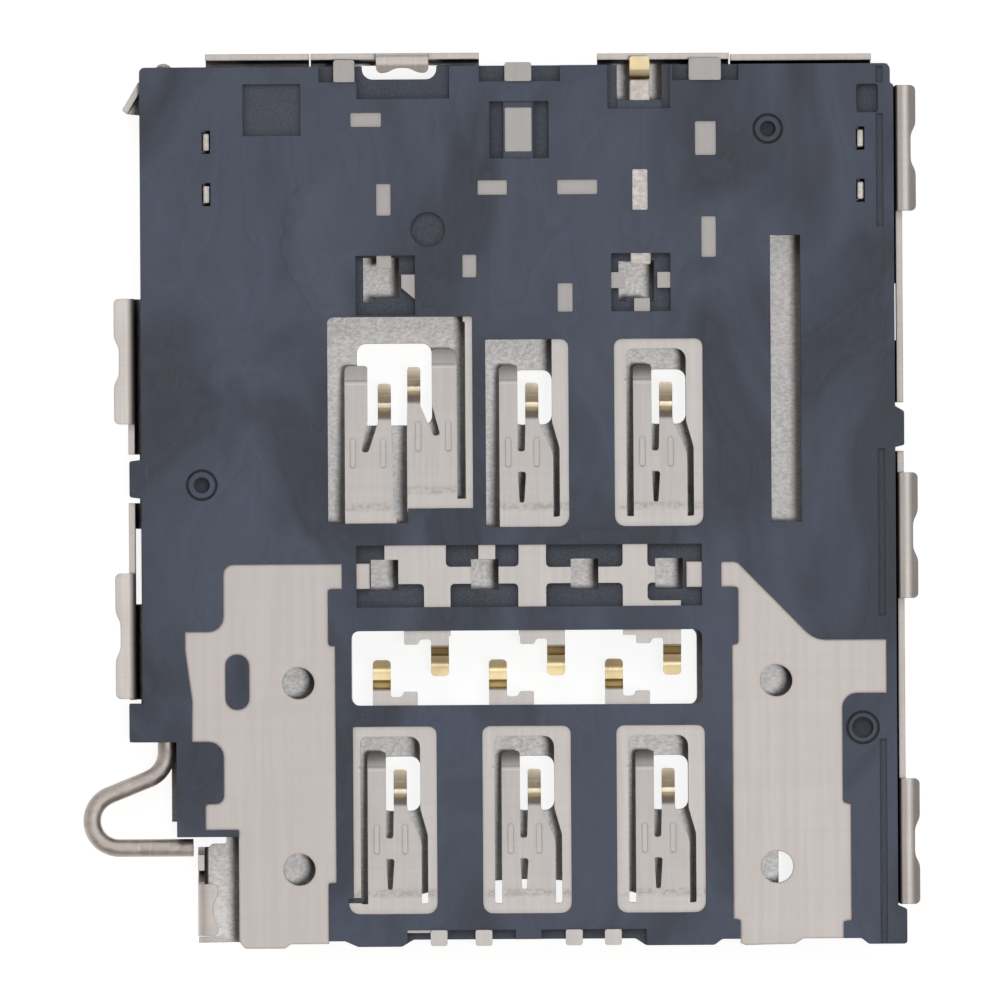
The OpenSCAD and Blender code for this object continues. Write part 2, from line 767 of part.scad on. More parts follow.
// Windows in the skin that show the buried traces, as [x0, x1, y0, y1]
trace_windows = [
    [back_tail_left[0] + 0.32, pair_left - 0.025, back - 1.15, back - 0.88],
    [pair_left - 0.13, pair_left + 0.15, back - 2.83, back - 2.23],
    [col_x(1) - 1, col_x(1) - 0.44, back - 2.45, back - 2.17],
    [col_x(1) + 0.51, col_x(1) + 1.27, back - 2.45, back - 2.17],
    [switch_x[0] + 0.04, switch_x[1] - 0.05, back - 2.75, back - 1.98],
    [col_x(2) + 0.58, col_x(2) + 0.98, back - 1.72, back - 1.08],
    [col_x(2) + 0.69, col_x(2) + 0.97, back - 3.65, back - 2.88],
    [col_x(1) - 1.3, col_x(1) - 1.03, back - 4.01, back - 3.58],
    [col_x(1) + 0.5, col_x(1) + 0.79, back_root + 3.88, back_root + 4.42],
    [back_tail_middle[0], back_tail_middle[1], back - 1.63, back - 0.8]
];

// Pockets that are open down to the contact sheet's underside, as [x0, x1, y0, y1]
open_pockets = [
    [hole_a[0] - 0.14, hole_a[1] + 0.3, hole_a[2] - 0.34, hole_a[3] + 0.04],
    [cross_x - 0.45, cross_x + 0.67, cross_y - 0.59, cross_y + 0.51],
    [strip_left, strip_right, strip_front, strip_back],
    [back_tail_left[0] - 0.28, hole_a[0] + 0.1, back - tail_seat, back + 1],
    [back_tail_middle[0] - 0.48, back_tail_middle[1] + 0.54, back - tail_seat, back + 1],
    [back_tail_right[0] - 0.31, back_tail_right[1] + 0.33, back - tail_seat, back + 1],
    [stub_x(0) - 0.44, stub_x(1) + stub_w + 0.44, front - 1, front + stub_seat],
    [stub_x(2) - 0.46, stub_x(3) + stub_w + 0.47, front - 1, front + stub_seat]
];

// Holes right through the base, as [x0, x1, y0, y1]
through_holes = concat(
    [hole_a, [hole_a[0], hole_a[0] + 0.2, hole_a[2] - 0.1, hole_a[2] + 0.1]],
    [[cross_x - 0.31, cross_x + 0.36, cross_y - 0.33, cross_y + 0.36]],
    [for (d = [-0.3, 0.24]) [cross_x + d, cross_x + d + 0.12, cross_y - 0.4, cross_y]],
    [for (x = punch_x) [x - punch_w / 2, x + punch_w / 2, punch_y0, punch_y1]],
    [[right - 2.35, right - 1.78, lug_r - 1.78, lug_r + 3.65]],
    [[pocket_x[0], pocket_x[1], pocket_y, back + 1]],
    [for (x = pin_x, y = pin_y) [x - slit_w / 2, x + slit_w / 2, y - slit_l / 2, y + slit_l / 2]]
);

// Shallow marks in the face, as [x0, x1, y0, y1, depth, corner radius]
frame_d = skin_t * 0.75;
shallow_marks = [
    [left + 1.96, left + 3.05, back - 1.31, back - 0.33, mark_d, 0],
    [right - 0.7, right - 0.29, back - 0.93, back - 0.39, 2 * mark_d, 0.06],
    [pocket_x[0] - 0.18, pocket_x[1] + 0.15, pocket_y - 0.16, back + 1, frame_d, 0],
    [back_tail_middle[0] - 0.29, back_tail_middle[1] + 0.32, back - 1.76, back - 0.68, frame_d, 0],
    [hole_a[0] - 0.1, hole_a[1] + 0.97, back - 0.62, back + 1, 2 * mark_d, 0],
    [back_tail_middle[0] - 0.29, back_tail_middle[0] - 0.03, back - 1.76, back - 0.68, 2 * mark_d, 0],
    [back_tail_middle[1] + 0.03, back_tail_middle[1] + 0.32, back - 1.76, back - 0.68, 2 * mark_d, 0],
    [pocket_x[0] - 0.18, pocket_x[0], pocket_y - 0.16, back + 1, mark_d, 0],
    [pocket_x[1], pocket_x[1] + 0.15, pocket_y - 0.16, back + 1, mark_d, 0]
];

groove_x = right - 0.24;
groove_runs = [
    [front - 1, front + 3.75], [lug_r - 3.57, lug_r - 0.4],
    [back - 3.1, back - 0.95], [back - 0.36, back - 0.05]
];

module pair_window() {
    right_side = col_x(1) - 1.12;
    polygon(outline([
        [pair_left - 1.075, back_root - 0.11], [pair_left + 0.44, back_root - 0.11],
        [pair_left + 0.44, pair_right_root - 0.14], [right_side, pair_right_root - 0.14],
        [right_side, back_root + 3.8, 0.04], [pair_left - 1.075, back_root + 3.8, 0.12]
    ]));
}

module middle_window() {
    intersection() {
        window_plan(col_x(1), back_root);
        area(col_x(1) - 0.875, col_x(1) + 2, back_root - 1, back_root + 5, 0.1);
    }
}

module housing() {
    color("#555b66") difference() {
        union() {
            slab(base_z, face_z) base_plan();
            rails();
        }
        // Roof of the rod's groove, and the way for the lever's tip
        slab(base_z - 1, rod_z1 + 0.05) {
            area(rod_x - groove_w / 2, rod_x + groove_w / 2, column_front - 0.1, back + 1);
        }
        // Room for the stampings
        slab(lead_z, lead_top) {
            left_plate_plan();
            right_plate_plan();
            for (i = [0:2]) {
                front_plan(i);
            }
            back_left_plan();
            back_middle_plan();
            back_right_plan();
            card_detect_plan();
            switch_pad_plan();
        }
        // Skin left off over the plates, contacts and windows
        slab(lead_top - eps, total_h) {
            left_plate_plan_visible();
            right_plate_plan_visible();
            difference() {
                window_plan(col_x(0), front_root);
                area(col_x(0) - 2, col_x(0) - 0.89, front_root + 0.1, front_root + 4);
            }
            for (i = [1:2]) {
                window_plan(col_x(i), front_root);
            }
            window_plan(col_x(2), back_root);
            for (w = trace_windows) {
                area(w[0], w[1], w[2], w[3], 0.03);
            }
        }
        slab(lead_z, total_h) for (p = open_pockets) {
            area(p[0], p[1], p[2], p[3]);
        }
        // Openings right through the base
        slab(base_z - 1, total_h) {
            for (i = [0:2]) {
                ring_opening(col_x(i), front_root);
            }
            ring_opening(col_x(2), back_root);
            difference() {
                middle_window();
                back_middle_plan();
            }
            difference() {
                pair_window();
                card_detect_plan();
            }
            area(bay_left, bay_right, bay_front, bay_back, 0.15);
            for (h = through_holes) {
                area(h[0], h[1], h[2], h[3]);
            }
        }
        slab(lead_z, total_h) {
            middle_window();
            pair_window();
        }
        for (y = hole_y, x = [left_hole_x, right_hole_x]) {
            translate([x, y, 0]) cylinder(r = plate_hole_r, h = total_h);
        }
        // Marks in the face
        for (m = shallow_marks) {
            slab(face_z - m[4], total_h) area(m[0], m[1], m[2], m[3], m[5]);
        }
        slab(face_z - mark_d / 2, total_h) for (g = groove_runs) {
            area(groove_x - 0.09, groove_x + 0.04, g[0], g[1]);
        }
        translate([col_x(0) + 0.59, back - 3.1, face_z - mark_d]) cylinder(r = 0.33, h = 1);
        mark_ring(right - 2.38, back - 1.23, 0.29, 0.15);
        mark_ring(left + 1.14, lug_l - 0.12, 0.3, 0.15);
        mark_ring(right - 0.65, front + 3.97, 0.32, 0.2);
    }
}

// The plates show where the skin is left off, up to the edge of the contact field
module left_plate_plan_visible() {
    intersection() {
        left_plate_plan();
        area(left - 1, col_x(0) - 1.08, front - 1, back);
    }
}

module right_plate_plan_visible() {
    intersection() {
        right_plate_plan();
        area(col_x(2) + 1.03, right + 1, front - 1, back);
    }
}

// Cover shell

// Section of a wall from the cover's edge, u outwards, with its top left plain or folded
function wall_path(h) = [[-0.02, shell_t / 2], [bend_r, shell_t / 2, bend_r], [bend_r, h]];
function foot_path(fold, droop) =
    let (top = total_h - shell_t / 2, crest = bend_r + fold * crest_w)
    concat(
        [[-0.02, shell_t / 2], [bend_r, shell_t / 2, bend_r], [bend_r, top, 0.075]],
        droop > 0 ? [[crest, top, 0.075]] : [],
        [[crest + fold * 0.25, top - 0.25 * tan(droop)]]
    );

module wall(y0, y1) {
    run(y0, y1) polygon(sheet(wall_path(wall_h), shell_t));
}

// A solder foot: a crest along its whole length, and an edge with a lobe at each end that may droop
module foot(y0, fold, length = foot_l, lobe = lobe_l, droop = 0) {
    reach = bend_r + fold * (crest_w + lobe_w);
    valley = reach - fold * lobe_d;
    y1 = y0 + length;
    intersection() {
        run(y0 - eps, y1 + eps) polygon(sheet(foot_path(fold, droop), shell_t));
        slab(-eps, total_h + eps) polygon(outline([
            [-fold, y0], [reach, y0, 0.1],
            [reach, y0 + lobe - lobe_d, 0.3], [valley, y0 + lobe + lobe_d, 0.3],
            [valley, y1 - lobe - lobe_d, 0.3], [reach, y1 - lobe + lobe_d, 0.3],
            [reach, y1, 0.1], [-fold, y1]
        ]));
    }
}

right_feet = [back - 2.8, lug_r - 3.24, front + 0.62];
left_feet = [lug_l + 1.04, lug_l - 4.16];
right_walls = [[lug_r + 0.47, back - 0.42], [front + 0.62, lug_r - 0.45]];
left_walls = [[lug_l + 0.47, lug_l + 3.42], [lug_l - 4.18, lug_l - 0.45]];
// The back wall is folded up in four lengths, given as [x0, x1, how far it stands in]
seam_w = 0.03;
seam_l = col_x(0) - 1.63;
seam_r = col_x(2) + 1.25;
back_walls = [
    [left + 1.25, seam_l - seam_w / 2, 0], [seam_l + seam_w / 2, mid_col - 0.96, 0],
    [mid_col + 1.28, seam_r - seam_w / 2, 0.03], [seam_r + seam_w / 2, right - 0.41, 0.06]
];
back_foot = [col_x(0) - 0.37, 0.99, 0.28];

module cover_plan() {
    notch_mid = mid_col - 0.12;
    notch_r = 7.7;
    difference() {
        union() {
            for (w = back_walls) {
                area(w[0], w[1], back - 0.3, edge_b - w[2]);
            }
            polygon(outline([
                [left + 0.02, back - 0.05, 0.1],
                [right - 0.41, back - 0.05],
                [edge_r, back - 0.42],
                [edge_r, front + 0.62],
                [right - 0.1, front + 0.1, 0.2],
                [hook_wall_x - shell_t / 2, front - 0.05],
                [hook_wall_x - shell_t / 2, front + 0.065],
                [hook_edge, front + 0.065],
                [hook_edge, column_front - 0.14, 0.1],
                [left + 1.55, column_front - 0.14, 0.05],
                [left + 1.55, column_front + 0.05],
                [left + 0.9, column_front + 0.05],
                [left + 0.9, column_front + 0.28],
                [left + 0.52, column_front + 0.28],
                [left + 0.52, block_front + 0.1],
                [edge_l, block_front + 0.1],
                [edge_l, left_walls[0][1]],
                [left + 0.02, left_walls[0][1]]
            ]));
        }
        // Thumb notch in the front edge
        translate([notch_mid, front + 1.12 - notch_r]) circle(notch_r, $fn = 180);
        // Openings under the contact tips, so that the tips can flex
        for (i = [0:2]) {
            tip_opening(col_x(i), front_root);
        }
        for (i = [1:2]) {
            tip_opening(col_x(i), back_root);
        }
        area(pair_left - 0.52, pair_right + 0.34, back_root + 1.75, back_root + 3.3, 0.18);
        area(bay_left + 0.01, bay_right - 0.1, bay_front - 0.02, bay_back + 0.02, 0.16);
        // Openings left by the tabs and catches
        area(hole_a[0] - 0.02, hole_a[1] + 0.75, back - 0.25, edge_b + 1);
        area(right_hole_x + 0.03, right_hole_x + 0.53, hole_y[1] - 0.7, hole_y[1] + 0.7, 0.05);
        translate([pivot_x, pivot_y]) circle(pivot_r * 0.8 + 0.02);
    }
}

module tip_opening(x, y) {
    area(x - 0.38, x + 0.38, y + 1.75, y + 2.78, 0.18);
}

// Spring tab that stands out at the back of the left side
module ground_tab() {
    root = [left - 0.02, back - 0.27];
    tip = [left - 0.33, back - 0.8];
    slab(0, shell_t) polygon(outline([
        [left + 0.1, root.y], root, tip, [tip.x + 0.08, tip.y - 0.06], [left + 0.1, tip.y - 0.1]
    ]));
    slab(0, wall_h) polygon(outline([root, tip, tip + [0.1, -0.06], root + [0.1, -0.06]]));
}

module cover_shell() {
    color("#a9a59f") difference() {
        union() {
            slab(0, shell_t) cover_plan();
            ground_tab();
            translate([edge_r, 0, 0]) {
                for (w = right_walls) {
                    wall(w[0], w[1]);
                }
                for (y = right_feet) {
                    foot(y, 1, droop = 45);
                }
            }
            translate([edge_l, 0, 0]) mirror([1, 0, 0]) {
                for (w = left_walls) {
                    wall(w[0], w[1]);
                }
                for (y = left_feet) {
                    foot(y, 1);
                }
            }
            translate([0, edge_b, 0]) rotate([0, 0, 90]) {
                for (w = back_walls) {
                    translate([-w[2], 0, 0]) wall(-w[1], -w[0]);
                }
                foot(-back_foot[0] - back_foot[1], -1, back_foot[1], back_foot[2], 20);
            }
            // Short wall with a foot beside the rod's hook, folded to the inside
            translate([hook_edge, 0, 0]) mirror([1, 0, 0]) {
                wall(front + 0.1, column_front - 0.2);
                foot(front + 0.1, -1, 0.98, 0.3);
            }
        }
        // Slots in the bends beside the walls
        slab(-1, wall_h / 2) {
            area(right - 0.03, right + right_gap, lug_r + 1.65, lug_r + 2.73);
            area(left - left_gap, left - 0.03, lug_l - 2.37, lug_l - 0.94);
        }
        // Slanted cuts in the top of the short wall
        for (w = [[column_front - 0.34, 0.15], [column_front - 0.86, 0.22]]) {
            translate([hook_wall_x, w[0], 0]) run_across(-0.3, 0.2) {
                polygon([[0, 0.9], [w[1], 0.3], [w[1], 2], [0, 2]]);
            }
        }
    }
}

// Eject mechanism

// Section of the rod, a hair smaller all round where it is drawn thinner between two bends
module rod_section(thin = 0) {
    side = rod_w / 2 - thin;
    low = rod_z0 + thin;
    high = rod_z1 - thin;
    polygon(outline([[-side, low, 0.12], [side, low, 0.12], [side, high, 0.12], [-side, high, 0.12]]));
}

// Straight stretch of the rod from point a to point b, and a little further where it is drawn thinner
module rod_straight(a, b, thin = 0) {
    d = b - a;
    more = thin > 0 ? 0.03 : 0;
    translate([a.x, a.y, 0]) rotate([0, 0, atan2(d.y, d.x) - 90]) {
        run(-more, norm(d) + more) rod_section(thin);
    }
}

// Bend of the rod round point c
module rod_bend(c, r, a0, a1) {
    translate([c.x, c.y, 0]) rotate([0, 0, a0]) {
        rotate_extrude(angle = a1 - a0) translate([r, 0]) rod_section();
    }
}

module push_rod() {
    low_y = front + 1.76;
    hook_c = [rod_x - 0.9, low_y + hook_r];
    up = [cos(hook_slant), sin(hook_slant)];
    out = [-up.y, up.x];
    low_end = [left + 0.93, low_y];
    hook_top = hook_c + hook_r * out;
    // The upper bend is tangent to the slanted stretch and to the straight rod
    elbow_r = 0.55;
    elbow_x = rod_x - elbow_r;
    slant_l = (elbow_x - elbow_r * out.x - hook_top.x) / up.x;
    slant_end = hook_top + slant_l * up;
    elbow_c = slant_end + elbow_r * out;
    color("#b9b5b0") union() {
        rod_straight([hook_c.x, low_y], low_end);
        rod_bend(hook_c, hook_r, 90 + hook_slant, 270);
        rod_straight(hook_top, slant_end, 0.004);
        rod_bend(elbow_c, elbow_r, hook_slant - 90, 0);
        rod_straight([rod_x, elbow_c.y], [rod_x, rod_back]);
    }
}

module eject_lever() {
    tip = [-lever_arm * cos(turn / 2), lever_arm * sin(turn / 2)];
    end_a = -24 - turn;
    tray_end = tray_arm * [cos(end_a), sin(end_a)];
    hub_r = pivot_r + pivot_clear + 0.2;
    side = lever_w / 2;
    aside = [-sin(end_a), cos(end_a)];
    outward = unit([-tip.y, tip.x]) * -1;
    color("#aeaaa5") translate([pivot_x, pivot_y, lever_z0]) difference() {
        union() {
            cylinder(r = hub_r, h = lever_t);
            translate(tip) cylinder(r = lever_tip_r, h = lever_t);
            translate(tray_end) cylinder(r = side, h = lever_t);
            linear_extrude(lever_t) {
                polygon(outline([
                    -hub_r * 0.8 * outward, tip - lever_tip_r * outward, tip, hub_r * 0.8 * outward
                ]));
                polygon(outline([
                    side * aside, tray_end + side * aside, tray_end - side * aside, -side * aside
                ]));
            }
        }
        translate([0, 0, -1]) cylinder(r = pivot_r + pivot_clear, h = lever_t + 2);
    }
}

module lever_pivot() {
    color("#9d9993") translate([pivot_x, pivot_y, 0]) union() {
        cylinder(r = pivot_r * 0.8, h = shell_t + 0.02);
        translate([0, 0, shell_t]) cylinder(r = pivot_r + 0.12, h = 0.03);
        cylinder(r = pivot_r * 0.8, h = lever_z0);
        translate([0, 0, shell_t]) cylinder(r = pivot_r, h = lever_z1 + 0.02 - shell_t);
        translate([0, 0, lever_z1 + 0.02]) cylinder(r = pivot_r + 0.16, h = 0.1);
    }
}

housing();
cover_shell();
left_base_plate();
right_base_plate();
contact_back_left();
contact_back_middle();
contact_back_right();
contact_card_detect();
contact_front(0);  // contact_front_left
contact_front(1);  // contact_front_middle
contact_front(2);  // contact_front_right
push_rod();
eject_lever();
lever_pivot();
switch_spring();
switch_pad();
stop_pins();
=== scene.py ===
import math

import bpy
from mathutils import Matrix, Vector


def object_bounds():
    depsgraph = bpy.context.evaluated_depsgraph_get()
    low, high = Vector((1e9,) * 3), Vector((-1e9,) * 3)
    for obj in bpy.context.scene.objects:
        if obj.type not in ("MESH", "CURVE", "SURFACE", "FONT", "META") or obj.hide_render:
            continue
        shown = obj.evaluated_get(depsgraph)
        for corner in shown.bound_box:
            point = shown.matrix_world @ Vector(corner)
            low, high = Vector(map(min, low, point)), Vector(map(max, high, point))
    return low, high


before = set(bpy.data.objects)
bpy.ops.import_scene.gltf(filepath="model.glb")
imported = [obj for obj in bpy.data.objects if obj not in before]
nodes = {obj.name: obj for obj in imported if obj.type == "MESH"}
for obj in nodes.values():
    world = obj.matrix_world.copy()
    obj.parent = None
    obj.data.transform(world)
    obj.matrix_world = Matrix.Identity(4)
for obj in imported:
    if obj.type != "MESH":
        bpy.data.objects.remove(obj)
cad_low, cad_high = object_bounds()

MM = 0.001

# Scale, middle and turn of the photograph's view of the solder side
PIXELS_PER_MM = 52.81
IMAGE_PIXELS = 1000
MIDDLE_PIXEL = (500.73, 501.05)
VIEW_ROLL = 0.0064
SENSOR_MM = 36.0
LENS_MM = 900.0

# Places on the socket, in millimetres
COLUMNS = (-1.94, 0.6, 3.14)
BACK_ROOT = -0.3
FRONT_ROOT = -7.62
PAIR_LEFT = -2.195
PAIR_RIGHT = -1.635
PAIR_RIGHT_ROOT = 0.01
BAY_BACK = -2.45
BAY_FRONT = -3.86
BACK_FINGERS = (-1.17, 1.03, 3.23)
FRONT_FINGERS = (-2.275, -0.075, 2.125)
FINGER_REACH = 0.6
SIDES = ("left", "middle", "right")

# Where a finish or a painted shade sets in, in millimetres, as (none of it yet, all of it)
SUNK_FLOOR_Z = (1.36, 1.335)
SHELL_FLOOR_Z = (0.05, 0.09)
SHELL_WALL_Z = (0.6, 0.4)
FAR_TRACE_TONE_Y = (3.3, 3.6)

# Weld line of the moulding, in millimetres
WELD_X = -4.1
WELD_TURN_Y = 5.0
WELD_BOW = 0.3
WELD_WAVE = 0.5
WELD_MIDDLE_Y = 4.9
WELD_LENGTH = (1.7, 0.9)
WELD_WIDTH = (0.05, 0.0)
WELD_LEE_RISE = (0.0, 0.5)
WELD_LEE_FALL = (1.3, 0.5)

# Marks on a contact, in millimetres from the root of its beam and from its column
CREASE_UP = 0.2
TIP_UP = 2.3
# Places of the painted highlight line and the painted shade line at the second bend of the beam
PAINTED_HIGHLIGHT_UP = 2.53
PRESS_UP = 2.59
PRESS_ASIDE = 0.52

# Rolling lines: how far a line is drawn out, and how fast it changes with depth
LINE_STRETCH = 0.03
LINE_DEPTH = 0.3

# Scratches as (turn, shift, scale of the patches that show them)
SCRATCH_LAYERS = ((0.5, 0.0, 0.55), (-0.9, 7.3, 0.75))

# Sharper edges than this, in degrees, aren't shaded smooth; closer points than this, in metres, are one
SMOOTH_DEGREES = 24
JOIN_DISTANCE = 2e-8

# Floor and lamp, in metres and watts
FLOOR_HALF = 0.6
FLOOR_DROP = 0.02 * MM
KEY_PLACE = (0.105, -0.042, 0.79)
KEY_ACROSS = 0.07
KEY_OUTWARD = 0.12
KEY_POWER = 0.77
KEY_TINT = (1.0, 0.99, 0.98)

# Softboxes as (direction, inner and outer radius in degrees, strength)
SOFTBOXES = (
    ((0.03, 0.62, 1.0), 6, 28, 1.55),
    ((-0.95, 0.1, 1.0), 10, 26, 0.8),
    ((0.95, 0.0, 1.0), 10, 26, 0.8),
    ((0.0, -0.95, 1.0), 8, 22, 0.6),
)
ROOM_GLOW = 0.065
BACKDROP_GLOW = 0.95


# Node building

MIX_SHARE, MIX_FIRST, MIX_SECOND, MIX_RESULT = 0, 6, 7, 2
FLOAT, VECTOR = "NodeSocketFloat", "NodeSocketVector"


def put(tree, kind, **settings):
    """Adds a node and sets its own properties."""
    node = tree.nodes.new(kind)
    for name, value in settings.items():
        setattr(node, name, value)
    return node


def feed(tree, socket, value):
    """Links the socket of another node to this one, or sets a plain value."""
    if isinstance(value, bpy.types.NodeSocket):
        tree.links.new(value, socket)
    else:
        socket.default_value = value


def math_node(tree, operation, a, b=0.0, clamp=False):
    node = put(tree, "ShaderNodeMath", operation=operation, use_clamp=clamp)
    feed(tree, node.inputs[0], a)
    feed(tree, node.inputs[1], b)
    return node.outputs[0]


def times(tree, a, b):
    return math_node(tree, "MULTIPLY", a, b)


def plus(tree, a, b):
    return math_node(tree, "ADD", a, b)


def minus(tree, a, b):
    return math_node(tree, "SUBTRACT", a, b)


def apart(tree, a, b):
    """How far two values are apart."""
    return math_node(tree, "ABSOLUTE", minus(tree, a, b))


def vector_node(tree, operation, a, b):
    node = put(tree, "ShaderNodeVectorMath", operation=operation)
    feed(tree, node.inputs[0], a)
    feed(tree, node.inputs[1], b)
    return node.outputs["Value" if operation == "DOT_PRODUCT" else "Vector"]


def span(tree, value, low, high, to_low=0.0, to_high=1.0):
    """Turns the range from low to high into another range, with a soft start and end."""
    node = put(tree, "ShaderNodeMapRange", interpolation_type="SMOOTHSTEP")
    feed(tree, node.inputs["Value"], value)
    feed(tree, node.inputs["From Min"], low)
    feed(tree, node.inputs["From Max"], high)
    feed(tree, node.inputs["To Min"], to_low)
    feed(tree, node.inputs["To Max"], to_high)
    return node.outputs["Result"]


def blend_colours(tree, share, a, b):
    node = put(tree, "ShaderNodeMix", data_type="RGBA")
    feed(tree, node.inputs[MIX_SHARE], share)
    feed(tree, node.inputs[MIX_FIRST], a)
    feed(tree, node.inputs[MIX_SECOND], b)
    return node.outputs[MIX_RESULT]


def lay(tree, body, mask, share, tint):
    """Lays a tint over a colour where the mask shows, up to the share given."""
    return blend_colours(tree, times(tree, mask, share), body, tint)


def lay_painted_shade(tree, body, corner, low, high, share, tint):
    """Lays a dark tint into the corners of a colour as painted shade, up to the share given."""
    return blend_colours(tree, span(tree, corner["Painted Shade"], low, high, 0.0, share), body, tint)


def noise(tree, place, scale, detail=2.0, roughness=0.5, distortion=0.0):
    node = put(tree, "ShaderNodeTexNoise", noise_dimensions="3D")
    feed(tree, node.inputs["Vector"], place)
    feed(tree, node.inputs["Scale"], scale)
    feed(tree, node.inputs["Detail"], detail)
    feed(tree, node.inputs["Roughness"], roughness)
    feed(tree, node.inputs["Distortion"], distortion)
    return node.outputs[0]


def mapped(tree, place, shift, turn, scale):
    """A place that is shifted, turned about Z and scaled."""
    node = put(tree, "ShaderNodeMapping")
    tree.links.new(place, node.inputs["Vector"])
    node.inputs["Location"].default_value = (shift, shift, 0.0)
    node.inputs["Rotation"].default_value = (0.0, 0.0, turn)
    node.inputs["Scale"].default_value = scale
    return node.outputs[0]


def colour(r, g, b):
    return (r, g, b, 1.0)


def new_group(name, inputs, outputs):
    """A shader node group; inputs are (name, kind, default) and outputs (name, kind)."""
    tree = bpy.data.node_groups.new(name, "ShaderNodeTree")
    for label, kind, default in inputs:
        socket = tree.interface.new_socket(name=label, in_out="INPUT", socket_type=kind)
        if default is not None:
            socket.default_value = default
    for label, kind in outputs:
        tree.interface.new_socket(name=label, in_out="OUTPUT", socket_type=kind)
    inside = tree.nodes.new("NodeGroupInput")
    result = tree.nodes.new("NodeGroupOutput")
    return tree, inside.outputs, result.inputs


def use(tree, group, **values):
    """Places a group; an underscore in a value's name stands for a blank."""
    node = tree.nodes.new("ShaderNodeGroup")
    node.node_tree = group
    for name, value in values.items():
        feed(tree, node.inputs[name.replace("_", " ")], value)
    return node.outputs


# Effects that several finishes share

def make_place_group():
    """Position on the part in millimetres, and its three shares."""
    tree, _, out = new_group("place_in_mm", [],
        [("Place", VECTOR), ("X", FLOAT), ("Y", FLOAT), ("Z", FLOAT)])
    where = put(tree, "ShaderNodeTexCoord").outputs["Object"]
    place = vector_node(tree, "MULTIPLY", where, (1 / MM, 1 / MM, 1 / MM))
    parts = put(tree, "ShaderNodeSeparateXYZ")
    tree.links.new(place, parts.inputs[0])
    tree.links.new(place, out["Place"])
    for axis in "XYZ":
        tree.links.new(parts.outputs[axis], out[axis])
    return tree


def make_edge_group():
    """Normals that round off the edges, and a mask of those edges, where the finishes lay a pale painted
    highlight.
    """
    tree, inside, out = new_group("rounded_edge", [("Radius", FLOAT, 0.02)],
        [("Normal", VECTOR), ("Edge", FLOAT)])
    bevel = put(tree, "ShaderNodeBevel", samples=2)
    feed(tree, bevel.inputs["Radius"], times(tree, inside["Radius"], MM))
    face = put(tree, "ShaderNodeNewGeometry")
    along = vector_node(tree, "DOT_PRODUCT", bevel.outputs[0], face.outputs["Normal"])
    feed(tree, out["Normal"], bevel.outputs[0])
    feed(tree, out["Edge"], span(tree, along, 1.0, 0.82))
    return tree


def make_corner_group():
    """Mask of painted shade, from ambient occlusion, where a surface runs close to another one."""
    tree, inside, out = new_group("corner_painted_shade", [("Reach", FLOAT, 0.1)], [("Painted Shade", FLOAT)])
    near = put(tree, "ShaderNodeAmbientOcclusion", samples=1)
    feed(tree, near.inputs["Distance"], times(tree, inside["Reach"], MM))
    feed(tree, out["Painted Shade"], math_node(tree, "SUBTRACT", 1.0, near.outputs["AO"], clamp=True))
    return tree


def make_brush_group():
    """Fine rolling lines along Y, with fainter ones across them."""
    tree, inside, out = new_group("rolling_lines",
        [("Place", VECTOR, None), ("Fine", FLOAT, 26.0)],
        [("Lines", FLOAT), ("Height", FLOAT)])
    along = vector_node(tree, "MULTIPLY", inside["Place"], (1.0, LINE_STRETCH, LINE_DEPTH))
    across = vector_node(tree, "MULTIPLY", inside["Place"], (LINE_STRETCH, 1.0, LINE_DEPTH))
    strong = noise(tree, along, inside["Fine"], 3.0, 0.6)
    faint = noise(tree, across, inside["Fine"], 2.0, 0.5)
    both = plus(tree, times(tree, strong, 0.72), times(tree, faint, 0.28))
    feed(tree, out["Lines"], span(tree, both, 0.36, 0.64))
    feed(tree, out["Height"], both)
    return tree


def make_pebble_group():
    """Grain of a blasted or tumbled surface, as soft pits and bumps that run a little along X."""
    tree, inside, out = new_group("pebble_grain",
        [("Place", VECTOR, None), ("Fine", FLOAT, 11.0)],
        [("Grain", FLOAT), ("Height", FLOAT)])
    drawn = vector_node(tree, "MULTIPLY", inside["Place"], (0.62, 1.0, 1.0))
    small = noise(tree, drawn, inside["Fine"], 2.0, 0.6, 0.5)
    wide = noise(tree, inside["Place"], times(tree, inside["Fine"], 0.3), 2.0, 0.5)
    both = plus(tree, times(tree, small, 0.8), times(tree, wide, 0.2))
    feed(tree, out["Grain"], span(tree, both, 0.36, 0.62))
    feed(tree, out["Height"], both)
    return tree


def make_stain_group():
    """Slow changes of tone over a surface, and a few small spots."""
    tree, inside, out = new_group("stains",
        [("Place", VECTOR, None), ("Size", FLOAT, 1.0)],
        [("Tone", FLOAT), ("Spots", FLOAT)])
    slow = noise(tree, inside["Place"], math_node(tree, "DIVIDE", 1.0, inside["Size"]), 3.0, 0.5, 0.6)
    fine = noise(tree, inside["Place"], 9.0, 2.0, 0.5)
    feed(tree, out["Tone"], span(tree, slow, 0.3, 0.7))
    feed(tree, out["Spots"], span(tree, fine, 0.7, 0.78))
    return tree


def make_scratch_group():
    """Thin scratches in two slanting directions."""
    tree, inside, out = new_group("fine_scratches",
        [("Place", VECTOR, None), ("Sparse", FLOAT, 0.7)], [("Scratch", FLOAT)])
    full = plus(tree, inside["Sparse"], 0.08)
    layers = []
    for turn, shift, patch_scale in SCRATCH_LAYERS:
        streak = noise(tree, mapped(tree, inside["Place"], shift, turn, (9.0, 0.5, 0.5)), 1.6, 1.0, 0.4)
        near = span(tree, apart(tree, streak, 0.5), 0.012, 0.0)
        shown = span(tree, noise(tree, inside["Place"], patch_scale, 2.0), inside["Sparse"], full)
        layers.append(times(tree, near, shown))
    feed(tree, out["Scratch"], math_node(tree, "MAXIMUM", layers[0], layers[1]))
    return tree


